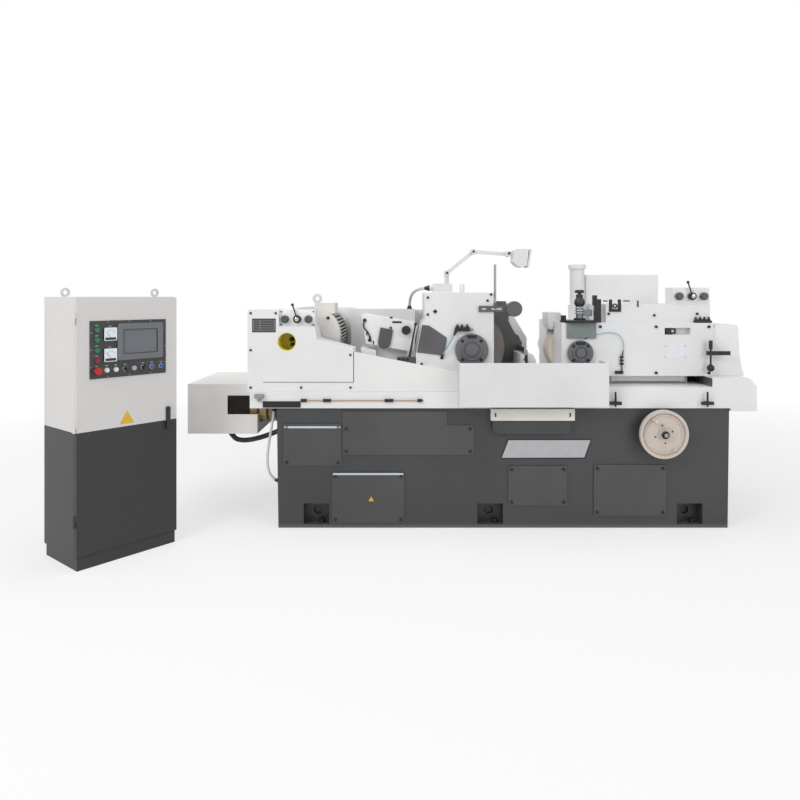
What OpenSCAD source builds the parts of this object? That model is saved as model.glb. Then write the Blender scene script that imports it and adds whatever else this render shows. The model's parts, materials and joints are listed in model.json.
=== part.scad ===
// Centerless grinder on a cast bed, with its control cabinet beside it.
// The origin is the centre of the bed's footprint on the floor. The front faces -Y and the
// regulating wheel is on the +X side. All sizes are millimetres.

/* [Bed] */
// Length of the bed at its top
bed_l = 2850; // [2700:10:3100]
// Depth of the bed from front to back
bed_w = 1100; // [1060:10:1200]
// Height of the bed
bed_h = 756; // [700:2:820]
// Wall of the bed casting
bed_wall = 45; // [35:1:60]
// How much the bed narrows towards the floor at each end
bed_draft = 10; // [0:1:20]
// Width of a jack pocket
pocket_w = 162; // [150:1:180]
// Height of a jack pocket
pocket_h = 130; // [115:1:150]
// Depth of a jack pocket
pocket_depth = 90; // [80:1:110]
// Diameter of an anchor hole in a foot ledge
anchor_d = 22; // [18:1:26]
// Diameter of a levelling screw
jack_d = 24; // [20:1:30]
// Thickness of the plates bolted to the bed
cover_t = 8; // [5:1:14]
// Thickness of the lower table
table_t = 102; // [90:1:120]

/* [Wheels] */
// Diameter of the grinding wheel
wheel_d = 490; // [470:1:500]
// Width of both wheels
wheel_w = 200; // [180:1:205]
// Bore of the grinding wheel
wheel_bore = 305; // [280:1:320]
// Diameter of the regulating wheel
reg_d = 300; // [280:1:304]
// Bore of the regulating wheel
reg_bore = 127; // [110:1:140]
// Height of the wheel axes over the lower table
axis_rise = 252; // [250:1:270]
// How far the regulating wheel's axis lies below the grinding wheel's
reg_drop = 17; // [0:1:20]
// Space between the wheel faces
wheel_gap = 302; // [290:1:330]
// Diameter of the grinding spindle in its bearings
spindle_d = 140; // [120:1:150]
// Diameter of the regulating spindle in its bearings
reg_spindle_d = 80; // [70:1:90]
// Radial clearance of a turning shaft
shaft_play = 0.05; // [0.02:0.01:0.09]
// Gap between moving bodies that don't touch
running_gap = 0.3; // [0.2:0.1:0.6]

/* [Motor and drive] */
// Diameter of the main motor
motor_d = 394; // [380:2:410]
// Length of the main motor's barrel
motor_l = 700; // [640:5:720]
// Number of cooling fins across the motor
motor_fins = 15; // [11:1:17]
// Pitch diameter of the motor's pulley
motor_pulley_d = 200; // [180:1:220]
// Pitch diameter of the spindle's pulley
spindle_pulley_d = 240; // [220:1:260]
// Number of belts
belt_count = 4; // [3:1:4]

/* [Handles and lamp] */
// Diameter of the feed handwheel
handwheel_d = 300; // [280:2:330]
// Length of the lamp's lower arm between its pivots
lamp_lower_l = 227; // [200:1:260]
// Length of the lamp's upper arm between its pivots
lamp_upper_l = 230; // [200:1:260]
// Diameter of the knobs on the valve boxes
knob_d = 50; // [44:1:54]

/* [Cabinet] */
// Width of the cabinet
cab_w = 590; // [560:5:650]
// Depth of the cabinet with its door
cab_depth = 390; // [360:5:450]
// Height of the cabinet
cab_h = 1455; // [1400:5:1600]
// Sheet thickness of the cabinet
cab_sheet = 3; // [2:0.5:4]
// Thickness of the cabinet door's tray
door_t = 22; // [18:1:28]
// Height of the cabinet's plinth
plinth_h = 68; // [60:1:90]

/* [Hidden] */
$fn = 64;
over = 5;
seat = running_gap;
left_end = -bed_l / 2;
right_end = bed_l / 2;
front_face = -bed_w / 2;
rear_face = bed_w / 2;
bed_top = bed_h;
table_top = bed_top + table_t;
axis_z = table_top + axis_rise;
inset_share = 0.5;

// A block between two corners
module block(x0, x1, y0, y1, z0, z1) {
  translate([x0, y0, z0]) cube([x1 - x0, y1 - y0, z1 - z0]);
}

// An outline in the X-Z plane, carried back from y0 by a depth
module slab(points, y0, depth) {
  translate([0, y0 + depth, 0]) rotate([90, 0, 0]) linear_extrude(depth) polygon(points);
}

// A round bar along Y
module bar_y(x, z, y0, y1, d) {
  translate([x, y1, z]) rotate([90, 0, 0]) cylinder(h = y1 - y0, d = d);
}

// A round bar along X
module bar_x(y, z, x0, x1, d) {
  translate([x0, y, z]) rotate([0, 90, 0]) cylinder(h = x1 - x0, d = d);
}

// A round bar along Z
module bar_z(x, y, z0, z1, d) {
  translate([x, y, z0]) cylinder(h = z1 - z0, d = d);
}

// A flat tube around the Y axis through x and z
module tube_y(x, z, y0, y1, d, bore) {
  difference() {
    bar_y(x, z, y0, y1, d);
    bar_y(x, z, y0 - over, y1 + over, bore);
  }
}

// Where the bed's left end face stands at a height
function bed_end_x(z) = left_end + bed_draft * (1 - z / bed_h);

// A plate with cut corners in the X-Z plane
module corner_plate(x0, x1, y0, y1, z0, z1, r) {
  slab([[x0, z0 + r], [x0, z1 - r], [x0 + r, z1], [x1 - r, z1], [x1, z1 - r], [x1, z0 + r],
        [x1 - r, z0], [x0 + r, z0]], y0, y1 - y0);
}

// An outline from shares of a width and a height
function outline(shares, x0, z0, w, h) = [for (s = shares) [x0 + s[0] * w, z0 + s[1] * h]];

// Bed: sealed chambers, pockets at front and back, and a drain lip under the drip tray
pocket_z = 23;
pocket_end_inset = 250;
pocket_mid_x = -81;
pocket_xs = [left_end + pocket_end_inset, pocket_mid_x, right_end - pocket_end_inset];
pocket_hole_d = 60;
pocket_hole_depth = 25;
rib_t = 40;
rib_count = 3;
anchor_side = 48;
jack_side = 30;
anchor_inset = 45;
anchor_y = front_face + anchor_inset;
lip_x0 = -70;
lip_w = 490;
lip_drop = 157;
lip_h = 84;
lip_out = 38;
lip_z1 = bed_top - lip_drop + lip_h;
feed_axis_inset = 443;
feed_axis_drop = 150;
feed_axis_x = right_end - feed_axis_inset;
feed_axis_z = bed_h - feed_axis_drop;
feed_bush_d = 96;
feed_bush_out = 44;
feed_shaft_d = 40;
feed_shaft_in = 240;

module bed_block() {
  slab([[left_end + bed_draft, 0], [left_end, bed_top], [right_end, bed_top],
        [right_end - bed_draft, 0]], front_face, bed_w);
}

module bed_chambers() {
  w = (bed_l - 2 * bed_wall - 2 * bed_draft - 2 * rib_t) / rib_count;
  for (i = [0 : rib_count - 1]) {
    x = left_end + bed_draft + bed_wall + i * (w + rib_t);
    block(x, x + w, front_face + pocket_depth + pocket_hole_depth + bed_wall,
          rear_face - pocket_depth - pocket_hole_depth - bed_wall, bed_wall, bed_top - bed_wall);
  }
}

module bed_pocket(x) {
  block(x - pocket_w / 2, x + pocket_w / 2, front_face - over, front_face + pocket_depth,
        pocket_z, pocket_z + pocket_h);
  bar_y(x, pocket_z + pocket_h / 2, front_face, front_face + pocket_depth + pocket_hole_depth,
        pocket_hole_d);
  bar_z(x - anchor_side, anchor_y, -over, pocket_z + over, anchor_d);
  bar_z(x + jack_side, anchor_y, -over, pocket_z + over, jack_d + 2 * running_gap);
}

module bed() {
  color([0.31, 0.32, 0.33]) {
    difference() {
      bed_block();
      bed_chambers();
      for (x = pocket_xs) {
        bed_pocket(x);
        mirror([0, 1, 0]) bed_pocket(x);
      }
      bar_y(feed_axis_x, feed_axis_z, front_face - over, front_face + feed_shaft_in,
            feed_shaft_d + 2 * shaft_play);
    }
    difference() {
      slab([[lip_x0, lip_z1 - lip_h + bed_wall / 2], [lip_x0, lip_z1], [lip_x0 + lip_w, lip_z1],
            [lip_x0 + lip_w, lip_z1 - lip_h + bed_wall / 2],
            [lip_x0 + lip_w - bed_wall / 2, lip_z1 - lip_h],
            [lip_x0 + bed_wall / 2, lip_z1 - lip_h]], front_face - lip_out, lip_out + bed_wall / 2);
      block(lip_x0 + cover_t, lip_x0 + lip_w - cover_t, front_face - lip_out + cover_t, front_face,
            lip_z1 - lip_h / 2, lip_z1 + over);
    }
    tube_y(feed_axis_x, feed_axis_z, front_face - feed_bush_out, front_face + bed_wall / 2,
           feed_bush_d, feed_shaft_d + 2 * shaft_play);
  }
}

// Levelling screws, with hexagon heads above the ledges and round pads on the floor
jack_head_w = 36;
jack_head_h = 22;
module levelling_jack(x) {
  bar_z(x + jack_side, anchor_y, 0, pocket_z + jack_head_h + seat, jack_d);
  translate([x + jack_side, anchor_y, pocket_z + seat])
    cylinder(h = jack_head_h, d = jack_head_w, $fn = 6);
}

module levelling_jacks() {
  color([0.16, 0.16, 0.17]) for (x = pocket_xs) {
    levelling_jack(x);
    mirror([0, 1, 0]) levelling_jack(x);
  }
}

// Plates bolted to the bed's front, each with its screws
plate_corner = 5;
screw_d = 14;
screw_h = 5;
screw_inset = 22;
cover_shares = [[0.0147, 0.1435, 0.5185, 0.8677], [0.1221, 0.2818, 0.0437, 0.4616],
                [0.5109, 0.6411, 0.1878, 0.5185], [0.7, 0.86, 0.1032, 0.5265]];
long_cover_shares = [0.1456, 0.4351, 0.6085, 0.9709];
long_step_shares = [0.3761, 0.8558];
function bed_panel(s) = [left_end + s[0] * bed_l, left_end + s[1] * bed_l, s[2] * bed_h, s[3] * bed_h];

module cover_screws(c) {
  for (x = [c[0] + screw_inset, c[1] - screw_inset])
    for (z = [c[2] + screw_inset, c[3] - screw_inset])
      bar_y(x, z, front_face - cover_t - screw_h, front_face - cover_t + seat, screw_d);
}

module cover_plate(c) {
  corner_plate(c[0], c[1], front_face - cover_t, front_face, c[2], c[3], plate_corner);
  cover_screws(c);
}

module bed_covers() {
  c = bed_panel(long_cover_shares);
  step_x = left_end + long_step_shares[0] * bed_l;
  step_z = long_step_shares[1] * bed_h;
  color([0.33, 0.34, 0.35]) {
    for (s = cover_shares) cover_plate(bed_panel(s));
    slab([[c[0], c[2]], [c[0], c[3]], [step_x, c[3]], [step_x, step_z], [c[1], step_z], [c[1], c[2]]],
         front_face - cover_t, cover_t);
    cover_screws([c[0], c[1], c[2], step_z]);
  }
}

// Drip tray: a sheet drawer front with two hand slots, hung on the bed under the trough
tray_x0 = -82;
tray_w = 523;
tray_out = 50;
tray_drop = 73;
tray_h = tray_drop - running_gap;
sheet = 4;
slot_w = 10;
slot_inset = 24;
module drip_tray() {
  z0 = bed_top - tray_drop;
  color([0.87, 0.85, 0.81]) difference() {
    block(tray_x0, tray_x0 + tray_w, front_face - tray_out, front_face, z0, z0 + tray_h);
    block(tray_x0 + sheet, tray_x0 + tray_w - sheet, front_face - tray_out + sheet,
          front_face - sheet, z0 + sheet, z0 + tray_h + over);
    for (x = [tray_x0 + slot_inset, tray_x0 + tray_w - slot_inset - slot_w])
      block(x, x + slot_w, front_face - tray_out - over, front_face - tray_out + sheet + over,
            z0 + slot_inset, z0 + tray_h - slot_inset);
  }
}

// Lower table: a long casting with a raised right part, an end block and dovetail ways
table_out = 20;
table_over_l = 166;
table_over_r = 164;
table_x0 = left_end - table_over_l;
table_x1 = right_end + table_over_r;
table_front = front_face - table_out;
table_back = rear_face + table_out;
raise_x = 640;
raise_h = 30;
end_block_l = 279;
end_block_h = 86;
end_bevel_w = 43;
end_bevel_h = 50;
end_hang = 19;
way_top = table_top + raise_h;
end_x = table_x1 - end_block_l;
dove_x0 = raise_x + table_out;
dove_half = 190;
dove_flare = 30;
dove_h = 40;

// Points of the dovetail in the Y-Z plane, grown by a clearance
function dove_points(c) = [[-dove_half - c, 0], [-dove_half - dove_flare - c, dove_h + c],
                           [dove_half + dove_flare + c, dove_h + c], [dove_half + c, 0]];

module dovetail(x0, x1, c) {
  translate([x0, 0, way_top]) rotate([90, 0, 90]) linear_extrude(x1 - x0) polygon(dove_points(c));
}

module lower_table() {
  color([0.9, 0.9, 0.905]) {
    difference() {
      slab([[table_x0, bed_top], [table_x0, table_top], [raise_x, table_top], [raise_x, way_top],
            [end_x, way_top], [end_x, table_top + end_block_h],
            [table_x1 - end_bevel_w, table_top + end_block_h],
            [table_x1, table_top + end_block_h - end_bevel_h], [table_x1, bed_top - end_hang],
            [right_end + running_gap, bed_top - end_hang], [right_end + running_gap, bed_top]],
           table_front, table_back - table_front);
      for (x = clamp_xs)
        bar_y(x, table_top - clamp_rise, table_front - over, table_front + clamp_in + over,
              clamp_d + 2 * shaft_play);
    }
    dovetail(dove_x0, end_x, 0);
  }
}

// Splash trough: a sheet tray in front of the wheels, open at the top and towards them
trough_x0 = -285;
trough_w = 910;
trough_out = 130;
trough_low = 76;
trough_high = 193;
trough_sheet = 5;
trough_lip = 14;
head_inset = 120;
head_y0 = front_face + head_inset;
carriage_inset = 100;
carriage_y0 = front_face + carriage_inset;
trough_front = table_front - trough_out;
trough_z0 = table_top - trough_low;
trough_z1 = table_top + trough_high;
module splash_trough() {
  x1 = trough_x0 + trough_w;
  color([0.89, 0.89, 0.89]) {
    difference() {
      block(trough_x0, x1, trough_front, table_front, trough_z0, trough_z1);
      block(trough_x0 + trough_sheet, x1 - trough_sheet, trough_front + trough_sheet,
            table_front - trough_sheet, trough_z0 + trough_sheet, trough_z1 + over);
      block(trough_x0 + trough_sheet, x1 - trough_sheet, trough_front + trough_sheet,
            table_front + over, table_top, trough_z1 + over);
    }
    block(trough_x0, trough_x0 + trough_sheet, table_front, head_y0 - seat, table_top, trough_z1);
    block(x1 - trough_sheet, x1, table_front, carriage_y0 - cap_t - 2 * cap_ring_w, table_top,
          trough_z1);
    block(trough_x0, x1, trough_front, trough_front + trough_lip, trough_z1 - trough_sheet, trough_z1);
  }
}

// Left housing: a deep sheet front with the valve block in its notch and a lined inspection hole
housing_over = 182;
housing_w_share = 0.234;
housing_w = housing_w_share * bed_l;
housing_h = 516;
housing_front = table_front + table_out / 2;
housing_depth = 210;
housing_x0 = left_end - housing_over;
housing_shares = [[0, 0], [0, 1], [0.295, 1], [0.295, 0.797], [0.63, 0.797], [0.655, 0.64],
                  [1, 0.52], [1, 0]];
valve_x0 = housing_x0 + 0.295 * housing_w;
valve_w = 223;
valve_h = 103;
valve_z0 = table_top + 0.797 * housing_h;
valve_back = 30;
valve_front = housing_front + valve_back;
valve_depth = 130;
valve_rise = 44;
inspect_inset = 65;
inspect_x = left_end + inspect_inset;
inspect_rise = 314;
inspect_z = table_top + inspect_rise;
inspect_d = 104;
inspect_deep = 110;
lining_t = 5;
knob_bore = 16;
knob_in = 50;

module left_housing() {
  color([0.91, 0.91, 0.915]) {
    difference() {
      slab(outline(housing_shares, housing_x0, table_top, housing_w, housing_h), housing_front,
           housing_depth);
      bar_y(inspect_x, inspect_z, housing_front - over, housing_front + inspect_deep,
            inspect_d + 2 * lining_t);
    }
    tube_y(inspect_x, inspect_z, housing_front + cover_t, housing_front + inspect_deep,
           inspect_d + 2 * lining_t, inspect_d);
    difference() {
      block(valve_x0, valve_x0 + valve_w, valve_front, valve_front + valve_depth, valve_z0,
            valve_z0 + valve_h);
      for (i = [0 : 2]) valve_bore(valve_x0, valve_w, valve_front, valve_z0 + valve_rise, i);
    }
  }
}

// One of the three spindle holes of a valve block
valve_shares = [0.16, 0.505, 0.825];
module valve_bore(x0, w, y0, z, i) {
  bar_y(x0 + valve_shares[i] * w, z, y0 - over, y0 + knob_in, knob_bore + 2 * shaft_play);
}

// Main motor: a barrel with level fins, end bells, feet, an eyebolt and a terminal box
motor_inset_share = 0.0614;
motor_x = left_end + motor_inset_share * bed_l;
motor_rise = 335;
motor_z = table_top + motor_rise;
motor_gap = 30;
motor_front = housing_front + housing_depth + motor_gap;
motor_back = motor_front + motor_l;
bell_share = 0.16;
fin_w = 9;
fin_depth = 26;
fin_span_share = 0.8;
motor_feet_w = 300;
motor_foot_h = 26;
motor_boss_d = 180;
motor_boss_l = 20;
eye_d = 66;
eye_t = 18;
eye_rise = 53;
motor_shaft_d = 65;
motor_shaft_in = 80;
term_shares = [0.09, 0.78];
term_z_shares = [0.75, 1.12];

module main_motor() {
  y0 = motor_front + bell_share * motor_l;
  y1 = motor_back - bell_share * motor_l;
  r = motor_d / 2;
  pitch = fin_span_share * motor_d / (motor_fins - 1);
  color([0.9, 0.9, 0.9]) {
    difference() {
      union() {
        bar_y(motor_x, motor_z, motor_front, y0, motor_d);
        bar_y(motor_x, motor_z, y1, motor_back, motor_d);
        bar_y(motor_x, motor_z, y0 - over, y1 + over, motor_d - 2 * fin_depth);
        bar_y(motor_x, motor_z, motor_back - over, motor_back + motor_boss_l, motor_boss_d);
        for (i = [0 : motor_fins - 1]) {
          z = (i - (motor_fins - 1) / 2) * pitch;
          w = sqrt(r * r - pow(abs(z) + fin_w / 2, 2));
          block(motor_x - w, motor_x + w, y0 - over, y1 + over, motor_z + z - fin_w / 2,
                motor_z + z + fin_w / 2);
        }
        block(motor_x - motor_feet_w / 2, motor_x + motor_feet_w / 2, y0, y1,
              table_top + motor_foot_h, motor_z - r / 2);
        block(motor_x - motor_feet_w / 2 - motor_foot_h, motor_x + motor_feet_w / 2 + motor_foot_h,
              y0, y1, table_top, table_top + motor_foot_h);
        block(motor_x + term_shares[0] * r, motor_x + term_shares[1] * r, y0 - fin_w, y0 + r,
              motor_z + term_z_shares[0] * r, motor_z + term_z_shares[1] * r);
        bar_z(motor_x, y0 + r + eye_d, motor_z + r / 2, motor_z + r + eye_rise - eye_d / 2 + over,
              eye_t);
      }
      bar_y(motor_x, motor_z, motor_back + motor_boss_l - motor_shaft_in,
            motor_back + motor_boss_l + over, motor_shaft_d + 2 * shaft_play);
    }
    tube_y(motor_x, motor_z + r + eye_rise, y0 + r + eye_d - eye_t / 2, y0 + r + eye_d + eye_t / 2,
           eye_d, eye_d - 2 * eye_t);
  }
}

// Belt drive behind the machine: grooved pulleys, belts and their guard
belt_pitch = 22;
belt_side = 18;
groove_depth = 14;
belts_gap = 20;
belts_y0 = motor_back + motor_boss_l + belts_gap;
belts_w = belt_count * belt_pitch;
wheel_x_share = -0.0656;
wheel_x = wheel_x_share * bed_l;
pulley_hub_l = 24;

// Half outline of a grooved rim: pairs of radius and length
function rim_points(r, inner) = concat([[inner, 0], [r, 0]],
  [for (i = [0 : belt_count - 1]) for (k = [0 : 3])
    [k == 0 || k == 3 ? r : r - groove_depth,
     belt_pitch * (i + [0.16, 0.34, 0.66, 0.84][k])]],
  [[r, belts_w], [inner, belts_w]]);

module pulley(x, z, r, inner) {
  translate([x, belts_y0 + belts_w, z]) rotate([90, 0, 0]) rotate_extrude()
    polygon(rim_points(r, inner));
}

module motor_pulley() {
  color([0.45, 0.46, 0.48]) {
    pulley(motor_x, motor_z, motor_pulley_d / 2, 0);
    bar_y(motor_x, motor_z, motor_back + motor_boss_l - motor_shaft_in + seat, belts_y0 + seat,
          motor_shaft_d);
  }
}

// The belts run as flat loops just outside the pulley rims
belt_t = 9;
module belt_loop(c) {
  ra = motor_pulley_d / 2 + c;
  rb = spindle_pulley_d / 2 + c;
  dx = wheel_x - motor_x;
  dz = axis_z - motor_z;
  d = sqrt(dx * dx + dz * dz);
  lean = atan2(dz, dx);
  tilt = acos((ra - rb) / d);
  translate([motor_x, motor_z]) rotate(lean) {
    circle(ra);
    translate([d, 0]) circle(rb);
    polygon([[ra * cos(tilt), ra * sin(tilt)], [d + rb * cos(tilt), rb * sin(tilt)],
             [d + rb * cos(tilt), -rb * sin(tilt)], [ra * cos(tilt), -ra * sin(tilt)]]);
  }
}

module main_belts() {
  color([0.1, 0.1, 0.1]) for (i = [0 : belt_count - 1])
    translate([0, belts_y0 + belt_pitch * (i + inset_share) + belt_side / 2, 0])
      rotate([90, 0, 0]) linear_extrude(belt_side) difference() {
        belt_loop(running_gap + belt_t);
        belt_loop(running_gap);
      }
}

guard_t = 6;
guard_gap = 20;
guard_y0 = belts_y0 - guard_gap - guard_t;
guard_y1 = belts_y0 + belts_w + guard_gap + guard_t;
guard_shares = [[0, 0.08], [0.03, 0], [0.97, 0], [1, 0.08], [1, 0.93], [0.985, 0.965],
                [0.33, 0.965], [0.32, 1], [0.03, 1], [0, 0.95]];
guard_over = 85;
guard_x0 = left_end - guard_over;
guard_past = 247;
guard_w = wheel_x + guard_past - guard_x0;
shield_share = 0.7;
shield_y0 = motor_front + shield_share * motor_l;
shield_gap = 35;
shield_x0 = motor_x + motor_d / 2 + shield_gap;
shield_h = 508;
guard_h = 516;
side_guard_shares = [[0, 0], [0, 1], [0.62, 1], [0.72, 0.9], [1, 0.62], [1, 0]];
side_guard_w = 294;
side_guard_h = 490;
head_right = 145;
head_x1 = wheel_x + head_right;

// The white sheet guard round the belts, with its shield beside the head and the one by the wheel
module belt_guard() {
  color([0.89, 0.89, 0.9]) {
    difference() {
      slab(outline(guard_shares, guard_x0, table_top, guard_w, guard_h), guard_y0,
           guard_y1 - guard_y0);
      slab(outline(guard_shares, guard_x0 + guard_t, table_top + guard_t, guard_w - 2 * guard_t,
                   guard_h - 2 * guard_t), guard_y0 + guard_t, guard_y1 - guard_y0 - 2 * guard_t);
      bar_y(motor_x, motor_z, guard_y0 - over, guard_y0 + guard_t + over, motor_boss_d + guard_gap);
      bar_y(wheel_x, axis_z, guard_y0 - over, guard_y0 + guard_t + over, spindle_d + guard_gap);
    }
    difference() {
      block(shield_x0, head_x0 - seat, shield_y0, guard_y0 + seat, table_top, table_top + shield_h);
      block(shield_x0 + guard_t, head_x0 - guard_t, shield_y0 + guard_t, guard_y0,
            table_top + guard_t, table_top + shield_h - guard_t);
    }
    slab(outline(side_guard_shares, head_x1, table_top, side_guard_w, side_guard_h),
         wheel_y1 + guard_plate_t + guard_plate_gap,
         guard_y0 + guard_t - wheel_y1 - guard_plate_t - guard_plate_gap);
  }
}

// Wheel head: a casting with the wheel pocket between two spindle bearings
head_reach = 361;
head_x0 = wheel_x - head_reach;
head_h = 626;
head_y1 = belts_y0 - guard_gap - guard_t - seat;
wheel_inset = 230;
wheel_y0 = head_y0 + wheel_inset;
wheel_y1 = wheel_y0 + wheel_w;
wheel_play = 12;
flange_t = 12;
pocket_play = 15;
bearing_wall = 28;
bearing_d = spindle_d + 2 * bearing_wall;
bearing_l = 190;
head_front_shares = [[0, 0], [0, 0.361], [0.075, 0.661], [0.115, 0.706], [0.115, 1], [1, 1], [1, 0]];
hatch_shares = [[0.08, 0.663], [0.17, 0.656], [0.397, 0.532], [0.363, 0.345], [0.012, 0.38]];
hatch_t = 6;

module wheel_head() {
  color([0.88, 0.88, 0.89]) difference() {
    slab(outline(head_front_shares, head_x0, table_top, head_x1 - head_x0, head_h), head_y0,
         head_y1 - head_y0);
    bar_y(wheel_x, axis_z, wheel_y0 - pocket_play, wheel_y1 + pocket_play, wheel_d + 2 * wheel_play);
    block(wheel_x, head_x1 + over, wheel_y0 - pocket_play, wheel_y1 + pocket_play,
          table_top - over, axis_z + wheel_d / 2 + wheel_play);
    bar_y(wheel_x, axis_z, head_y0 - over, head_y1 + over, bearing_d);
  }
}

module wheel_bearings() {
  color([0.72, 0.55, 0.3]) {
    tube_y(wheel_x, axis_z, head_y0, wheel_y0 - pocket_play, bearing_d - 2 * shaft_play,
           spindle_d + 2 * shaft_play);
    tube_y(wheel_x, axis_z, head_y1 - bearing_l, head_y1, bearing_d - 2 * shaft_play,
           spindle_d + 2 * shaft_play);
  }
}

module wheel_spindle() {
  color([0.6, 0.61, 0.63]) {
    bar_y(wheel_x, axis_z, head_y0 + seat, belts_y0 + seat, spindle_d);
    bar_y(wheel_x, axis_z, wheel_y0, wheel_y1, wheel_bore - 2 * shaft_play);
    for (y = [wheel_y0 - flange_t, wheel_y1])
      bar_y(wheel_x, axis_z, y, y + flange_t, wheel_bore + 2 * pulley_hub_l);
    pulley(wheel_x, axis_z, spindle_pulley_d / 2, 0);
  }
}

module grinding_wheel() {
  color([0.4, 0.38, 0.37]) tube_y(wheel_x, axis_z, wheel_y0, wheel_y1, wheel_d, wheel_bore);
}

// Bearing caps: stepped round covers with four screws and an oil fitting
cap_d = 214;
cap_t = 20;
cap_ring_share = 0.62;
cap_ring_w = 10;
cap_hub_share = 0.36;
cap_screw_d = 20;
cap_screw_circle_share = 0.8;
cap_oil_w = 60;
cap_oil_h = 26;

module bearing_cap(x, y0, d, z) {
  color([0.36, 0.37, 0.39]) {
    bar_y(x, z, y0 - cap_t, y0, d);
    tube_y(x, z, y0 - cap_t - cap_ring_w, y0 - cap_t + seat, cap_ring_share * d,
           cap_ring_share * d - 2 * cap_ring_w);
    bar_y(x, z, y0 - cap_t - cap_ring_w, y0 - cap_t + seat, cap_hub_share * d);
    for (a = [45 : 90 : 315])
      bar_y(x + cap_screw_circle_share * d / 2 * cos(a), z + cap_screw_circle_share * d / 2 * sin(a),
            y0 - cap_t - cap_ring_w / 2, y0 - cap_t + seat, cap_screw_d);
    block(x - cap_oil_w / 2, x + cap_oil_w / 2, y0 - cap_t - cap_ring_w, y0 - cap_t + seat,
          z + d / 2 - cap_oil_h, z + d / 2 - cap_ring_w);
  }
}

module wheel_bearing_cap() {
  bearing_cap(wheel_x, head_y0, cap_d, axis_z);
}

// Dark guard plate behind the wheel, and the slotted nozzle bracket over it
guard_plate_t = 22;
guard_plate_gap = 20;
plate_w = 257;
plate_h = 568;
plate_shares = [[0, 0], [0, 1], [0.55, 0.996], [0.64, 0.856], [0.62, 0.75], [0.71, 0.669],
                [0.81, 0.59], [0.9, 0.563], [1, 0.467], [0.95, 0.37], [0.99, 0.282], [0.92, 0.215],
                [0.92, 0]];
bracket_in = 46;
bracket_x0 = wheel_x + bracket_in;
bracket_w = 176;
bracket_h = 38;
bracket_t = 14;
bracket_rise = 248;
knuckle_d = 100;
knuckle_l = 60;
knuckle_x = bracket_x0 + bracket_w + knuckle_d / 2;
slot_shares = [[0.1, 0.28], [0.45, 0.85]];
slot_half_share = 0.18;
rod_d = 16;
rod_h = 269;
rod_x = head_x1 + rod_d / 2;
rod_out = 30;

module wheel_guard() {
  z = axis_z + bracket_rise + bracket_h / 2;
  y0 = head_y0 - bracket_t;
  color([0.36, 0.36, 0.37]) {
    slab(outline(plate_shares, head_x1, table_top, plate_w, plate_h), wheel_y1 + pocket_play,
         guard_plate_t);
    difference() {
      block(bracket_x0, knuckle_x, y0, head_y0, z - bracket_h / 2, z + bracket_h / 2);
      for (s = slot_shares)
        block(bracket_x0 + s[0] * bracket_w, bracket_x0 + s[1] * bracket_w, y0 - over,
              head_y0 - bracket_t / 2, z - slot_half_share * bracket_h, z + slot_half_share * bracket_h);
    }
    bar_y(knuckle_x, z, y0 - knuckle_l / 2, y0 + knuckle_l, knuckle_d);
    block(head_x1, head_x1 + rod_d, head_y0 - bracket_t, head_y0 + rod_out, z, z + bracket_h);
    slab(outline(hatch_shares, head_x0, table_top, head_x1 - head_x0, head_h), head_y0 - hatch_t,
         hatch_t);
    bar_z(rod_x, head_y0 + rod_d / 2, z + bracket_h / 2, z + bracket_h / 2 + rod_h, rod_d);
  }
}

// Workrest between the wheels, with its blade and two clamping handles
rest_x0 = 150;
rest_w = 100;
rest_inset = 100;
rest_back = 10;
rest_y0 = head_y0 + rest_inset;
rest_l = wheel_y1 + rest_back - rest_y0;
rest_h = 215;
rest_base_w = 130;
rest_base_h = 60;
blade_t = 24;
blade_h = 130;
blade_out_share = 0.35;
blade_bevel = 18;
tee_d = 14;
tee_l = 44;
tee_bar = 60;
tee_rise = 62;

module workrest() {
  x1 = rest_x0 + rest_w;
  color([0.85, 0.85, 0.85]) {
    difference() {
      block(rest_x0, x1, rest_y0, rest_y0 + rest_l, table_top, table_top + rest_h);
      block(rest_x0 + blade_t, rest_x0 + 2 * blade_t, rest_y0 - over, rest_y0 + rest_l + over,
            table_top + rest_h - (1 - blade_out_share) * blade_h, table_top + rest_h + over);
      slab([[x1 - blade_t, table_top + rest_h + over], [x1 + over, table_top + rest_h + over],
            [x1 + over, table_top + rest_h - 2 * blade_t]], rest_y0 - over, rest_l + 2 * over);
    }
    block(rest_x0 - (rest_base_w - rest_w) / 2, x1 + (rest_base_w - rest_w) / 2, rest_y0,
          rest_y0 + rest_l, table_top, table_top + rest_base_h);
  }
  color([0.12, 0.12, 0.12]) for (s = [0.25, 0.8]) {
    x = rest_x0 + s * rest_w;
    bar_y(x, table_top + rest_h - tee_rise * 2 * s, rest_y0 - tee_l, rest_y0 + over, tee_d);
    bar_z(x, rest_y0 - tee_l, table_top + rest_h - tee_rise * 2 * s - tee_bar / 2,
          table_top + rest_h - tee_rise * 2 * s + tee_bar / 2, tee_d);
  }
}

module work_blade() {
  z0 = table_top + rest_h - (1 - blade_out_share) * blade_h;
  x0 = rest_x0 + blade_t;
  color([0.7, 0.71, 0.73])
    slab([[x0, z0], [x0, z0 + blade_h], [x0 + blade_t, z0 + blade_h - blade_bevel],
          [x0 + blade_t, z0]], rest_y0 + blade_bevel, rest_l - 2 * blade_bevel);
}

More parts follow.
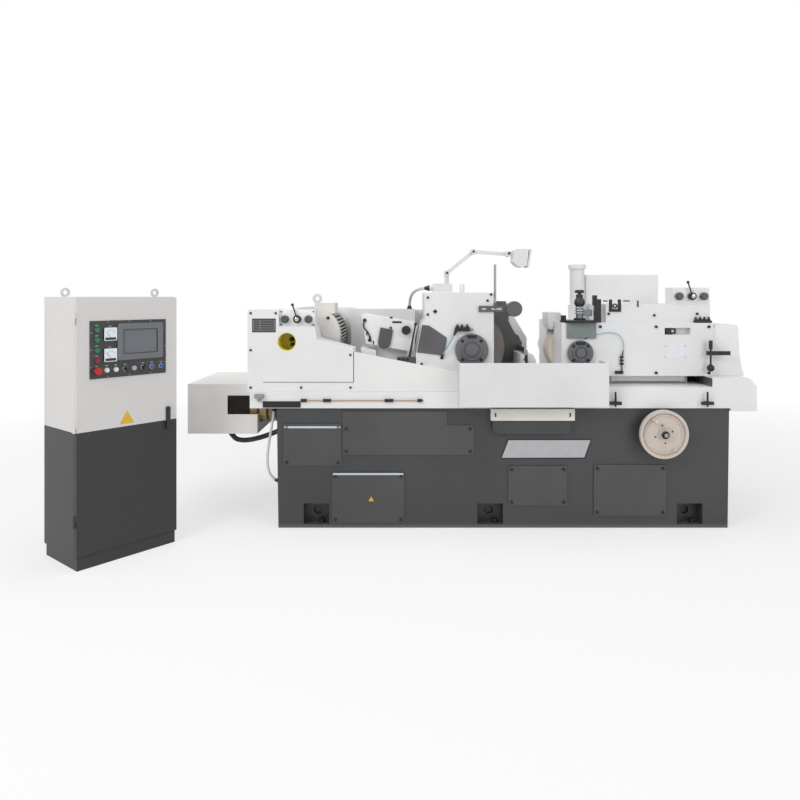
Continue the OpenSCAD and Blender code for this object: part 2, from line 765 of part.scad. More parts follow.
// Sloped sheet tray under the wheel dresser
slope_x0 = housing_x0 + housing_w;
slope_w = trough_x0 - slope_x0;
slope_h = 253;
slope_shares = [[0, 0], [0, 1], [1, 0.486], [1, 0]];
slope_wall = 5;
slope_sink = 32;
module dresser_tray() {
  d = head_y0 - housing_front;
  color([0.9, 0.9, 0.9]) difference() {
    slab(outline(slope_shares, slope_x0, table_top, slope_w, slope_h), housing_front, d);
    slab([[slope_x0 + slope_wall, table_top + slope_h - slope_sink],
          [slope_x0 + slope_wall, table_top + slope_h + over],
          [slope_x0 + slope_w + over, table_top + slope_h + over],
          [slope_x0 + slope_w + over, table_top + 0.486 * slope_h - slope_sink]],
         housing_front + slope_wall, d);
  }
}

// Wheel dresser: a leaning slide on a base beside the wheel head
dress_lean = 10;
dress_reach_share = 0.2635;
dress_reach = dress_reach_share * bed_l;
dress_x0 = wheel_x - dress_reach;
dress_l_share = 0.1323;
dress_l = dress_l_share * bed_l;
dress_h = 190;
dress_top_rise = 490;
dress_inset = 80;
dress_y0 = head_y0 + dress_inset;
dress_depth = 230;
dress_shares = [[0.17, 0], [0.02, 0.85], [0, 0.95], [0.03, 1], [0.96, 1], [1, 0.95], [0.99, 0.08],
                [0.96, 0]];
tongue_w = 84;
tongue_l = 135;
tongue_t = 14;
tongue_share = 0.37;
strip_w = 14;
dress_knob_d = 58;
dress_knob_l = 34;
dress_shaft_d = 18;
dress_shaft_in = 60;
dress_knob_shares = [0.82, 0.7];
dress_way_t = 30;
foot_shares = [[0, 0], [0, 1], [0.3, 0.93], [0.33, 0.55], [1, 0.42], [1, 0]];
foot_w_share = 0.1123;
foot_w = foot_w_share * bed_l;
foot_h = 262;

// Moves its children to the leaning frame of the dresser, whose origin is the body's lower left end
module dresser_frame() {
  translate([dress_x0, 0, table_top + dress_top_rise - dress_h]) rotate([0, dress_lean, 0]) children();
}

module wheel_dresser() {
  color([0.91, 0.91, 0.915]) dresser_frame() {
    difference() {
      slab(outline(dress_shares, 0, 0, dress_l, dress_h), dress_y0, dress_depth);
      bar_y(dress_knob_shares[0] * dress_l, dress_knob_shares[1] * dress_h, dress_y0 - over,
            dress_y0 + dress_shaft_in, dress_shaft_d + 2 * shaft_play);
    }
    block(tongue_share * dress_l, tongue_share * dress_l + tongue_w, dress_y0 - tongue_t, dress_y0,
          tongue_w / 2 - tongue_t, tongue_l - tongue_t);
    bar_y(tongue_share * dress_l + tongue_w / 2, tongue_w / 2 - tongue_t, dress_y0 - tongue_t,
          dress_y0, tongue_w);
    block(0.3 * dress_l, 0.9 * dress_l, dress_y0 + dress_depth / 3, dress_y0 + dress_depth, -dress_way_t,
          over);
  }
}

module dresser_knob() {
  x = dress_knob_shares[0] * dress_l;
  z = dress_knob_shares[1] * dress_h;
  color([0.12, 0.12, 0.13]) dresser_frame() {
    bar_y(x, z, dress_y0 - seat - dress_knob_l, dress_y0 - seat, dress_knob_d);
    bar_y(x, z, dress_y0 - over, dress_y0 + dress_shaft_in - over, dress_shaft_d);
  }
}

module dresser_base() {
  color([0.3, 0.3, 0.31]) {
    difference() {
      slab(outline(foot_shares, dress_x0 + dress_way_t, table_top, foot_w, foot_h + dress_way_t),
           dress_y0 - dress_way_t, dress_depth);
      dresser_frame() block(-dress_l, 2 * dress_l, dress_y0 - dress_depth, dress_y0 + 2 * dress_depth,
                            -dress_way_t, dress_h);
    }
    intersection() {
      block(dress_x0 + foot_w / 3, dress_x0 + foot_w, dress_y0 + dress_depth / 3,
            dress_y0 + dress_depth, table_top, table_top + foot_h + dress_way_t);
      dresser_frame() block(-dress_l, 2 * dress_l, dress_y0 - dress_depth, dress_y0 + 2 * dress_depth,
                            -2 * foot_h, -dress_way_t);
    }
  }
}

// Coolant and belt box at the left end, with its side window, hung on the housing and the bed
box_w = 460;
box_h = 328;
box_low = 306;
box_x1 = table_x0;
box_x0 = box_x1 - box_w;
box_inset = 200;
box_y0 = front_face + box_inset;
box_depth = 700;
box_sheet = 5;
window_w = 198;
window_h = 124;
window_rise = 128;
bridge_w = 240;
bridge_h = 46;
module coolant_box() {
  z0 = table_top - box_low;
  color([0.88, 0.87, 0.86]) {
    difference() {
      block(box_x0, box_x1, box_y0, box_y0 + box_depth, z0, z0 + box_h);
      block(box_x0 + box_sheet, box_x1 - box_sheet, box_y0 + box_sheet,
            box_y0 + box_depth - box_sheet, z0 + box_sheet, z0 + box_h - box_sheet);
      block(box_x1 - window_w, box_x1 + over, box_y0 - over, box_y0 + bridge_w, z0 + window_rise,
            z0 + window_rise + window_h);
      bar_x(drive_y, bed_top - drive_drop, box_x1 - 2 * box_sheet, box_x1 + over, drive_d + 2 * band_w);
    }
    slab([[box_x1, z0], [box_x1, z0 + bridge_h], [bed_end_x(z0 + bridge_h) - seat, z0 + bridge_h],
          [bed_end_x(z0) - seat, z0]], box_y0 + box_depth - bridge_w, bridge_w);
  }
}

// Feed drive at the left end: an ochre geared motor with dark bands, bolted to the bed's end
drive_d = 124;
drive_l = 230;
drive_drop = 70;
drive_inset = 330;
drive_y = front_face + drive_inset;
drive_flange = 150;
band_w = 16;
band_pitch = 62;
module feed_motor() {
  z = bed_top - drive_drop;
  color([0.72, 0.6, 0.35]) {
    bar_x(drive_y, z, left_end - drive_l, left_end - band_w, drive_d);
    for (i = [1 : 3])
      bar_x(drive_y, z, left_end - i * band_pitch, left_end - i * band_pitch + band_w,
            drive_d + band_w / 2);
    slab([[left_end - band_w, z - drive_flange / 2], [left_end - band_w, z + drive_d / 2 - seat],
          [bed_end_x(z + drive_d / 2 - seat) - seat, z + drive_d / 2 - seat],
          [bed_end_x(z - drive_flange / 2) - seat, z - drive_flange / 2]], drive_y - drive_flange / 2,
         drive_flange);
  }
}

// Swept tube through chosen points, closed at both ends, where it heads along t0 and t1
function unit(v) = v / norm(v);
function heading(p, i, t0, t1) = i == 0 ? t0 : i == len(p) - 1 ? t1 : unit(p[i + 1] - p[i - 1]);
function ring_at(p, i, r, n, t) =
  let (side = abs(t[2]) > 0.9 ? [1, 0, 0] : [0, 0, 1],
       u = unit(cross(t, side)), v = cross(t, u))
  [for (k = [0 : n - 1]) p[i] + r * (cos(k * 360 / n) * u + sin(k * 360 / n) * v)];
module sweep(p, d, n, t0, t1) {
  m = len(p);
  polyhedron(points = [for (i = [0 : m - 1]) each ring_at(p, i, d / 2, n, heading(p, i, t0, t1))],
             faces = concat([[for (k = [0 : n - 1]) k]],
                            [for (i = [0 : m - 2]) for (k = [0 : n - 1])
                              [(i + 1) * n + k, (i + 1) * n + (k + 1) % n, i * n + (k + 1) % n, i * n + k]],
                            [[for (k = [n - 1 : -1 : 0]) (m - 1) * n + k]]));
}

// Points of a smooth curve through four guide points
function bend(a, b, c, d, n) = [for (i = [0 : n]) let (t = i / n)
  pow(1 - t, 3) * a + 3 * t * pow(1 - t, 2) * b + 3 * t * t * (1 - t) * c + pow(t, 3) * d];

// Coolant hose from the box's floor to the bed's end, and two white cables
hose_d = 33;
hose_drop = 60;
hose_out = 190;
hose_x = table_x0 - hose_out;
hose_inset = 290;
hose_y = front_face + hose_inset;
hose_end_drop = 180;
hose_end_z = bed_top - hose_end_drop;
cable_d = 16;
cable_inset = 60;
cable_y = front_face + cable_inset;
cable_out = 30;
cable_top_x = left_end - cable_out;
cable_end_drop = 477;
cable_end_z = bed_top - cable_end_drop;
hose_steps = 14;
hose_sides = 10;
cable_sides = 8;
module coolant_hose() {
  z0 = table_top - box_low;
  x1 = bed_end_x(hose_end_z);
  color([0.2, 0.2, 0.2])
    sweep(bend([hose_x, hose_y, z0], [hose_x, hose_y, z0 - 2 * hose_drop],
               [x1 - 2 * hose_drop, hose_y, hose_end_z - hose_drop],
               [x1 - seat, hose_y, hose_end_z], hose_steps),
          hose_d, hose_sides, [0, 0, -1], [1, 0, 0]);
}

lamp_side = 149;
lamp_x = wheel_x - lamp_side;
lamp_inset = 300;
lamp_y = front_face + lamp_inset;
lamp_shift = 30;
lamp_base_w = 128;
lamp_base_l = 110;
lamp_base_h = 59;
lamp_gland_l = 26;
lamp_gland_d = 34;
lamp_hose_d = 20;
lamp_hose_reach = 160;
head_top = table_top + head_h;
module table_cable() {
  color([0.86, 0.85, 0.84]) {
    sweep(bend([cable_top_x, cable_y, bed_top], [cable_top_x, cable_y, bed_top - 10 * cable_d],
               [left_end - 9 * cable_d, cable_y, cable_end_z + 2 * cable_d],
               [bed_end_x(cable_end_z) - seat, cable_y, cable_end_z], hose_steps),
          cable_d, cable_sides, [0, 0, -1], [1, 0, 0]);
    sweep(bend([lamp_x - lamp_base_w / 2 - lamp_shift - lamp_gland_l, lamp_y, head_top + lamp_base_h / 2],
               [lamp_x - lamp_hose_reach - lamp_base_w / 2, lamp_y, head_top + lamp_base_h / 2],
               [head_x0 - 2 * lamp_hose_d, shield_y0 + lamp_hose_d, head_top],
               [head_x0 - 2 * lamp_hose_d, shield_y0 + lamp_hose_d, table_top + shield_h], hose_steps),
          lamp_hose_d, cable_sides, [-1, 0, 0], [0, 0, -1]);
  }
}

// Lamp on the wheel head: base with swivel post and fork, two lapped arms and the head
lamp_post_d = 30;
lamp_pivot_rise = 131;
lamp_eye_d = 40;
lamp_eye_t = 18;
lamp_pin_d = 12;
lamp_arm_w = 24;
lamp_lower_a = 39;
lamp_upper_a = -4;
lamp_z1 = head_top + lamp_pivot_rise;
lamp_x2 = lamp_x + lamp_lower_l * cos(lamp_lower_a);
lamp_z2 = lamp_z1 + lamp_lower_l * sin(lamp_lower_a);
lamp_x3 = lamp_x2 + lamp_upper_l * cos(lamp_upper_a);
lamp_z3 = lamp_z2 + lamp_upper_l * sin(lamp_upper_a);
lens_t = 12;
lens_h = 120;
lamp_hood_w = 120;
lamp_hood_l = 100;
lamp_hood_h = 122;
hood_wall = 5;
hood_shares = [[-0.06, 0.3], [0, 0.92], [0.2, 1], [0.84, 1], [1, 0.96], [0.88, 0.06], [0.52, 0],
               [0.2, 0.08]];

// An eye around a pivot, with its bore, between two depths
module eye(x, z, y0, y1) {
  tube_y(x, z, y0, y1, lamp_eye_d, lamp_pin_d + 2 * shaft_play);
}

// An arm between two pivots, with an eye at the first and a pin at the second
module lamp_arm(xa, za, l, a, y) {
  y1 = y + lamp_eye_t;
  xb = xa + l * cos(a);
  zb = za + l * sin(a);
  u = lamp_arm_w / 2 * sin(a);
  v = lamp_arm_w / 2 * cos(a);
  difference() {
    union() {
      bar_y(xa, za, y, y1, lamp_eye_d);
      slab([[xa - u, za + v], [xb - u, zb + v], [xb + u, zb - v], [xa + u, za - v]], y, lamp_eye_t);
      bar_y(xb, zb, y, y1, lamp_eye_d);
      bar_y(xb, zb, y - lamp_eye_t - 2 * seat, y + over, lamp_pin_d);
    }
    bar_y(xa, za, y - over, y1 + over, lamp_pin_d + 2 * shaft_play);
  }
}

module lamp_base() {
  z0 = head_top;
  z1 = head_top + lamp_base_h;
  color([0.88, 0.88, 0.88]) {
    block(lamp_x - lamp_base_w / 2 - lamp_shift, lamp_x + lamp_base_w / 2 - lamp_shift,
          lamp_y - lamp_base_l / 2, lamp_y + lamp_base_l / 2, z0, z1);
    bar_x(lamp_y, z0 + lamp_base_h / 2, lamp_x - lamp_base_w / 2 - lamp_shift - lamp_gland_l,
          lamp_x - lamp_base_w / 2 - lamp_shift, lamp_gland_d);
    bar_z(lamp_x, lamp_y + lamp_eye_t + seat + lamp_post_d / 2, z1, lamp_z1, lamp_post_d);
    bar_y(lamp_x, lamp_z1, lamp_y + lamp_eye_t + seat, lamp_y + 2 * lamp_eye_t, lamp_eye_d);
    bar_y(lamp_x, lamp_z1, lamp_y - seat, lamp_y + lamp_eye_t + 2 * seat, lamp_pin_d);
  }
}

module lamp_lower_arm() {
  color([0.87, 0.87, 0.87]) lamp_arm(lamp_x, lamp_z1, lamp_lower_l, lamp_lower_a, lamp_y);
}

module lamp_upper_arm() {
  color([0.87, 0.87, 0.87])
    lamp_arm(lamp_x2, lamp_z2, lamp_upper_l, lamp_upper_a, lamp_y - lamp_eye_t - seat);
}

module lamp_head() {
  y = lamp_y - 2 * lamp_eye_t - 2 * seat;
  x0 = lamp_x3 + 0.75 * lamp_eye_d;
  z0 = lamp_z3 - 0.75 * lamp_hood_h;
  color([0.9, 0.9, 0.9]) {
    eye(lamp_x3, lamp_z3, y - lamp_eye_t - seat, y - seat);
    difference() {
      block(lamp_x3, x0 + lamp_eye_d / 2, y - lamp_eye_t - seat, y - seat, lamp_z3 - lamp_arm_w / 2,
            lamp_z3 + lamp_arm_w / 2);
      bar_y(lamp_x3, lamp_z3, y - 2 * lamp_eye_t, y + over, lamp_pin_d + 2 * shaft_play);
    }
    difference() {
      slab(outline(hood_shares, x0, z0, lamp_hood_l, lamp_hood_h), y - lamp_hood_w / 2, lamp_hood_w);
      slab(outline(hood_shares, x0 + hood_wall, z0 + hood_wall, lamp_hood_l - 2 * hood_wall,
                   lamp_hood_h - 2 * hood_wall), y - lamp_hood_w / 2 + hood_wall,
           lamp_hood_w - 2 * hood_wall);
    }
    translate([x0 + lamp_hood_l, y - lamp_hood_w / 2, z0]) rotate([0, lamp_eye_t / 2, 0])
      translate([-lens_t, -lens_t / 2, 0]) cube([lens_t, lamp_hood_w + lens_t, lens_h]);
  }
}

// Feed handwheel: a dished wheel with a graduated ring, crank knob and clamping nut
wheel_rim_t = 26;
wheel_dish_t = 12;
wheel_rim_w = 18;
hub_d = 70;
hub_l = 52;
nut_d = 34;
nut_t = 16;
ring_share = 0.82;
ring_t = 5;
crank_d = 26;
crank_l = 78;
crank_r_share = 0.74;
crank_a = 128;
small_knob_d = 18;
small_knob_l = 26;
small_knob_a = -58;
bolt_dot_d = 8;
handwheel_y = front_face - feed_bush_out - seat;

module feed_handwheel() {
  y1 = handwheel_y;
  color([0.88, 0.87, 0.85]) {
    tube_y(feed_axis_x, feed_axis_z, y1 - wheel_rim_t - hub_l / 2, y1 - hub_l / 2, handwheel_d,
           handwheel_d - 2 * wheel_rim_w);
    bar_y(feed_axis_x, feed_axis_z, y1 - wheel_dish_t - hub_l / 2, y1 - hub_l / 2,
          handwheel_d - wheel_rim_w);
    tube_y(feed_axis_x, feed_axis_z, y1 - wheel_dish_t - ring_t - hub_l / 2, y1 - hub_l / 2,
           ring_share * handwheel_d, ring_share * handwheel_d - wheel_rim_w);
    bar_y(feed_axis_x, feed_axis_z, y1 - hub_l, y1, hub_d);
    translate([feed_axis_x, y1 - hub_l, feed_axis_z]) rotate([90, 0, 0])
      cylinder(h = nut_t, d = nut_d, $fn = 6);
    bar_y(feed_axis_x, feed_axis_z, y1 - over, front_face + feed_shaft_in - over, feed_shaft_d);
    crank_post(crank_a, crank_d, crank_l, y1);
    crank_post(small_knob_a, small_knob_d, small_knob_l, y1);
  }
}

module crank_post(a, d, l, y1) {
  r = crank_r_share * handwheel_d / 2;
  x = feed_axis_x + r * cos(a);
  z = feed_axis_z + r * sin(a);
  bar_y(x, z, y1 - hub_l / 2 - wheel_dish_t - l, y1 - hub_l / 2, d);
  translate([x, y1 - hub_l / 2 - wheel_dish_t - l, z]) sphere(d = d);
}

// Regulating head: a slide on the dovetail that carries the regulating wheel
reg_x = wheel_x + wheel_d / 2 + wheel_gap + reg_d / 2;
reg_z = axis_z - reg_drop;
reg_left = 118;
reg_l = 976;
reg_head_x0 = reg_x - reg_left;
reg_head_x1 = reg_head_x0 + reg_l;
reg_z0 = table_top + end_block_h + running_gap;
reg_h = 344;
reg_top = reg_z0 + reg_h;
reg_depth = 750;
reg_y1 = carriage_y0 + reg_depth;
reg_play = 12;
saddle_in = 190;
saddle_x0 = reg_x + saddle_in;
saddle_gap = 60;
saddle_x1 = end_x - saddle_gap;
saddle_half = 330;
strip_l = 480;
strip_h = 26;
upper_in = 174;
upper_x0 = reg_x + upper_in;
upper_w = 673;
upper_h = 118;
upper_back = 20;
upper_y0 = carriage_y0 + upper_back;
upper_l = 680;
notch_in = 231;
notch_x0 = reg_x + notch_in;
notch_w = 203;
notch_h = 52;
notch_back = 110;
notch_y0 = upper_y0 + notch_back;
recess_in = 547;
recess_x0 = reg_x + recess_in;
recess_w = 165;
recess_h = 43;
recess_drop = 77;
recess_deep = 40;
dress_notch_out = 85;
dress_notch_x0 = reg_x - dress_notch_out;
dress_notch_w = 186;
dress_notch_h = 101;
dress_notch_l = 300;
end_lever_in = 825;
end_lever_x = reg_x + end_lever_in;
end_lever_rise = 237;
end_lever_z = table_top + end_lever_rise;
end_pin_d = 22;
end_pin_in = 60;

module regulating_head() {
  color([0.89, 0.89, 0.895]) difference() {
    union() {
      block(reg_head_x0, reg_head_x1, carriage_y0, reg_y1, reg_z0, reg_top);
      block(upper_x0, upper_x0 + upper_w, upper_y0, upper_y0 + upper_l, reg_top - over,
            reg_top + upper_h);
      block(saddle_x0, saddle_x1, -saddle_half, saddle_half, way_top, reg_z0 + over);
      block(saddle_x0 + saddle_half / 10, saddle_x0 + saddle_half / 10 + strip_l,
            -saddle_half - 2 * strip_h, over - saddle_half, reg_z0 - 1.5 * strip_h, reg_z0 + over);
    }
    dovetail(saddle_x0 - over, saddle_x1 + over, running_gap);
    bar_y(reg_x, reg_z, wheel_y0 - pocket_play, wheel_y1 + pocket_play, reg_d + 2 * reg_play);
    block(reg_head_x0 - over, reg_x, wheel_y0 - pocket_play, wheel_y1 + pocket_play, reg_z0 - over,
          reg_z + reg_d / 2 + reg_play);
    bar_y(reg_x, reg_z, carriage_y0 - over, reg_y1 + over, reg_spindle_d + 2 * shaft_play);
    block(notch_x0, notch_x0 + notch_w, notch_y0, upper_y0 + upper_l / 2,
          reg_top + upper_h - notch_h, reg_top + upper_h + over);
    block(recess_x0, recess_x0 + recess_w, carriage_y0 - over, carriage_y0 + recess_deep,
          reg_top - recess_drop, reg_top - recess_drop + recess_h);
    block(dress_notch_x0 - running_gap, dress_notch_x0 + dress_notch_w + running_gap,
          carriage_y0 - over, carriage_y0 + dress_notch_l, reg_top - dress_notch_h, reg_top + over);
    bar_y(end_lever_x, end_lever_z, carriage_y0 - over, carriage_y0 + end_pin_in,
          end_pin_d + 2 * shaft_play);
  }
}

// Sheet covers on the regulating head: rear box, vent, wheel hood, valve box and end housing
rear_in = 157;
rear_x0 = reg_x + rear_in;
rear_w = 512;
rear_h = 205;
rear_y0 = 0;
rear_l = 240;
vent_in = 93;
vent_x = reg_x + vent_in;
vent_y = 0;
vent_d = 102;
vent_h = 394;
vent_cap_d = 124;
vent_cap_h = 30;
vent_neck_h = 110;
hood_w = 95;
hood_h = 116;
hood_over_shares = [[0, 0.3], [0, 1], [0.85, 1], [1, 0.8], [1, 0.48], [0.38, 0.48], [0.38, 0],
                    [0.15, 0]];
valve2_in = 610;
valve2_x0 = reg_x + valve2_in;
valve2_w = 240;
valve2_h = 109;
valve2_l = 130;
valve2_rise = 52;
valve2_back = 12;
valve2_y0 = upper_y0 + valve2_back;
end_w = 209;
end_h = 330;
end_y0 = carriage_y0 + upper_back;
end_l = 660;
end_shares = [[0, 0], [0, 0.9], [0.12, 0.985], [0.22, 1], [0.72, 1], [0.8, 0.985], [0.82, 0.93],
              [0.87, 0.4], [0.93, 0.16], [1, 0]];
tool_w = 82;
tool_l = 34;
tool_t = 10;
drive2_d = 190;
drive2_l = 180;

module carriage_covers() {
  z2 = reg_top + upper_h;
  color([0.9, 0.9, 0.905]) {
    block(rear_x0, upper_x0, rear_y0, rear_y0 + rear_l, reg_top, z2 + rear_h);
    block(rear_x0, rear_x0 + rear_w, rear_y0, rear_y0 + rear_l, z2, z2 + rear_h);
    bar_z(vent_x, vent_y, reg_top, reg_top + vent_h, vent_d);
    bar_z(vent_x, vent_y, reg_top, reg_top + vent_neck_h, vent_cap_d);
    bar_z(vent_x, vent_y, reg_top + vent_h - vent_cap_h, reg_top + vent_h, vent_cap_d);
    slab(outline(hood_over_shares, reg_head_x0 - 0.38 * hood_w, reg_top - 0.48 * hood_h, hood_w, hood_h),
         wheel_y0, wheel_w);
    difference() {
      block(valve2_x0, valve2_x0 + valve2_w, valve2_y0, valve2_y0 + valve2_l, z2, z2 + valve2_h);
      for (i = [0 : 2]) valve_bore(valve2_x0, valve2_w, valve2_y0, z2 + valve2_rise, i);
    }
    slab(outline(end_shares, reg_head_x1, reg_z0, end_w, end_h), end_y0, end_l);
    bar_y(reg_x, reg_z, reg_y1, reg_y1 + drive2_l, drive2_d);
  }
}

reg_cap_d = 164;
module regulating_cap() {
  bearing_cap(reg_x, carriage_y0, reg_cap_d, reg_z);
}

module regulating_spindle() {
  color([0.6, 0.61, 0.63]) {
    bar_y(reg_x, reg_z, carriage_y0 + seat, reg_y1 - seat, reg_spindle_d);
    bar_y(reg_x, reg_z, wheel_y0, wheel_y1, reg_bore - 2 * shaft_play);
    for (y = [wheel_y0 - flange_t, wheel_y1])
      bar_y(reg_x, reg_z, y, y + flange_t, reg_bore + 2 * pulley_hub_l);
  }
}

module regulating_wheel() {
  color([0.9, 0.83, 0.76]) tube_y(reg_x, reg_z, wheel_y0, wheel_y1, reg_d, reg_bore);
}

// Regulating wheel dresser: a slide in the head's notch, with a column and its top knob
dresser_proud = 15;
dresser_l = 150;
column_d = 46;
column_rise = 85;
column_inset = 55;
column_y = carriage_y0 + column_inset;
column_shift = 3;
column_x = dress_notch_x0 + dress_notch_w / 2 + column_shift;
ball_d = 70;
star_d = 46;
star_h = 34;
arm_l = 80;
arm_t = 26;

module reg_dresser() {
  z = reg_top + running_gap;
  color([0.5, 0.52, 0.53]) {
    block(dress_notch_x0, dress_notch_x0 + dress_notch_w, carriage_y0 - dresser_proud,
          carriage_y0 - dresser_proud + dresser_l, reg_top - dress_notch_h, reg_top - seat);
    bar_z(column_x, column_y, reg_top - over, reg_top + disc_t + column_rise, column_d);
    translate([column_x, column_y, reg_top + disc_t + column_rise + ball_d / 4]) sphere(d = ball_d);
    bar_z(column_x, column_y, reg_top + disc_t + column_rise + ball_d / 2,
          reg_top + disc_t + column_rise + ball_d / 2 + star_h, star_d);
    block(column_x, column_x + arm_l, column_y - arm_t / 2, column_y + arm_t / 2,
          reg_top + disc_t + 2 * seat + arm_t / 2, reg_top + disc_t + column_rise / 2 + arm_t / 2);
  }
}

disc_d = 250;
disc_t = 28;
disc_knob_d = 34;
disc_knob_h = 32;
module dresser_handwheel() {
  color([0.1, 0.1, 0.11]) difference() {
    union() {
      bar_z(column_x, column_y, reg_top + seat, reg_top + disc_t / 2, disc_d);
      bar_z(column_x, column_y, reg_top + seat, reg_top + disc_t, column_d + disc_t);
      bar_z(column_x - disc_d / 2 + 0.6 * disc_knob_d, column_y, reg_top + disc_t / 2 - seat,
            reg_top + disc_t / 2 + disc_knob_h, disc_knob_d);
    }
    bar_z(column_x, column_y, reg_top - over, reg_top + disc_t + over, column_d + 2 * shaft_play);
  }
}

// Valve levers and knobs, each on a spindle in its valve block
knob_l = 36;
lever_tip_dx = -29;
lever_tip_dz = 91;
lever_rod_d = 9;
lever_ball_d = 20;
module valve_knob(x0, w, y0, z, i) {
  x = x0 + valve_shares[i] * w;
  color([0.35, 0.36, 0.38]) {
    bar_y(x, z, y0 - seat - knob_l * 0.7, y0 - seat, knob_d);
    bar_y(x, z, y0 - seat - knob_l, y0 - seat, 0.8 * knob_d);
    bar_y(x, z, y0 - over, y0 + knob_in - seat, knob_bore);
  }
}

module valve_lever(x0, w, y0, z) {
  x = x0 + valve_shares[1] * w;
  color([0.12, 0.12, 0.13]) {
    valve_knob(x0, w, y0, z, 1);
    translate([x, y0 - seat - knob_l / 2, z])
      rotate([0, atan2(lever_tip_dx, lever_tip_dz), 0])
        cylinder(h = norm([lever_tip_dx, lever_tip_dz]), d = lever_rod_d);
    translate([x + lever_tip_dx, y0 - seat - knob_l / 2, z + lever_tip_dz]) sphere(d = lever_ball_d);
  }
}

module left_lever() { valve_lever(valve_x0, valve_w, valve_front, valve_z0 + valve_rise); }
module left_knob_a() { valve_knob(valve_x0, valve_w, valve_front, valve_z0 + valve_rise, 0); }
module left_knob_b() { valve_knob(valve_x0, valve_w, valve_front, valve_z0 + valve_rise, 2); }
module right_lever() { valve_lever(valve2_x0, valve2_w, valve2_y0, reg_top + upper_h + valve2_rise); }
module right_knob_a() { valve_knob(valve2_x0, valve2_w, valve2_y0, reg_top + upper_h + valve2_rise, 0); }
module right_knob_b() { valve_knob(valve2_x0, valve2_w, valve2_y0, reg_top + upper_h + valve2_rise, 2); }

// Clamping tee handles on the lower table's front
clamp_gap = 69;
clamp_in_x = 757;
clamp_xs = [trough_x0 + trough_w + clamp_gap, reg_x + clamp_in_x];
clamp_rise = 66;
clamp_d = 20;
clamp_in = 60;
clamp_out = 40;
clamp_bar_l = 74;
clamp_bar_d = 22;
clamp_arm_l = 70;
clamp_arm_d = 12;
module clamp_lever(x) {
  z = table_top - clamp_rise;
  y = table_front - seat;
  color([0.1, 0.1, 0.1]) {
    bar_y(x, z, y - clamp_out, table_front + clamp_in - seat, clamp_d);
    bar_x(y - clamp_out + clamp_bar_d / 2, z, x - clamp_bar_l / 2, x + clamp_bar_l / 2, clamp_bar_d);
    bar_z(x, y - clamp_out + clamp_bar_d / 2, z - clamp_bar_d, z + clamp_arm_l, clamp_arm_d);
  }
}
module clamp_lever_a() { clamp_lever(clamp_xs[0]); }
module clamp_lever_b() { clamp_lever(clamp_xs[1]); }

// End lever on the regulating head, with its grip, cross bracket and ball
end_grip_d = 24;
end_grip_l = 105;
end_bar_l = 150;
end_bar_h = 26;
end_bar_t = 12;
end_ball_d = 46;
end_ball_drop = 95;
end_out = 34;
module end_lever() {
  y = carriage_y0 - seat;
  color([0.2, 0.2, 0.2]) {
    bar_y(end_lever_x, end_lever_z, y - end_out, y + end_pin_in - seat, end_pin_d);
    block(end_lever_x - end_bar_h, end_lever_x - end_bar_h + end_bar_l, y - end_out - end_bar_t,
          y - end_out + seat, end_lever_z - end_bar_h / 2, end_lever_z + end_bar_h / 2);
    bar_z(end_lever_x, y - end_out - end_bar_t / 2, end_lever_z - end_ball_drop,
          end_lever_z + end_grip_l - end_grip_d, end_grip_d / 2);
    bar_z(end_lever_x, y - end_out - end_bar_t / 2, end_lever_z + end_bar_h,
          end_lever_z + end_grip_l - end_grip_d, end_grip_d);
    translate([end_lever_x, y - end_out - end_bar_t / 2, end_lever_z - end_ball_drop])
      sphere(d = end_ball_d);
  }
}

// Cabinet: its frame has u along the door, v into the cabinet and the near corner at zero
cab_from_bed = 924;
cab_forward = 697;
cab_yaw = 50.4;
module cab_frame() {
  translate([left_end - cab_from_bed, front_face - cab_forward, 0]) rotate([0, 0, cab_yaw]) children();
}

cab_lip = 24;
plinth_inset = 8;
lift_d = 50;
lift_t = 12;
lift_shares = [0.05, 0.95];
hinge_d = 14;
hinge_h = 32;
hinge_out = 8;
hinge_v = 4;
hinge_pin_d = 6;
hinge_shares = [0.16, 0.5, 0.9];
hinge_leaf_t = 3;
hinge_leaf_l = 34;
door_side_gap = 1;

module cabinet_body() {
  v0 = door_t + seat;
  color([0.85, 0.85, 0.84]) cab_frame() {
    difference() {
      block(0, cab_w, v0, cab_depth, plinth_h, cab_h);
      block(cab_sheet, cab_w - cab_sheet, v0 + cab_sheet, cab_depth - cab_sheet,
            plinth_h + cab_sheet, cab_h - cab_sheet);
      block(cab_lip, cab_w - cab_lip, v0 - over, v0 + cab_sheet + over, plinth_h + cab_lip,
            cab_h - cab_lip);
    }
    difference() {
      block(plinth_inset, cab_w - plinth_inset, plinth_inset, cab_depth - plinth_inset, 0,
            plinth_h);
      block(plinth_inset + cab_lip, cab_w - plinth_inset - cab_lip, plinth_inset + cab_lip,
            cab_depth - plinth_inset - cab_lip, cab_sheet, plinth_h - cab_sheet);
    }
    for (s = lift_shares) {
      translate([s * cab_w, cab_depth / 2 + lift_t / 2, cab_h + lift_d / 2 - seat])
        rotate([90, 0, 0]) difference() {
          cylinder(h = lift_t, d = lift_d);
          translate([0, 0, -over]) cylinder(h = lift_t + 2 * over, d = lift_d - 2 * lift_t);
        }
    }
    for (s = hinge_shares) {
      bar_z(-hinge_out, hinge_v, s * cab_h, s * cab_h + hinge_h, hinge_d);
      bar_z(-hinge_out, hinge_v, s * cab_h, s * cab_h + 2 * hinge_h, hinge_pin_d);
      block(-hinge_leaf_t, 0, hinge_v, v0 + hinge_leaf_l, s * cab_h, s * cab_h + hinge_h);
    }
  }
}

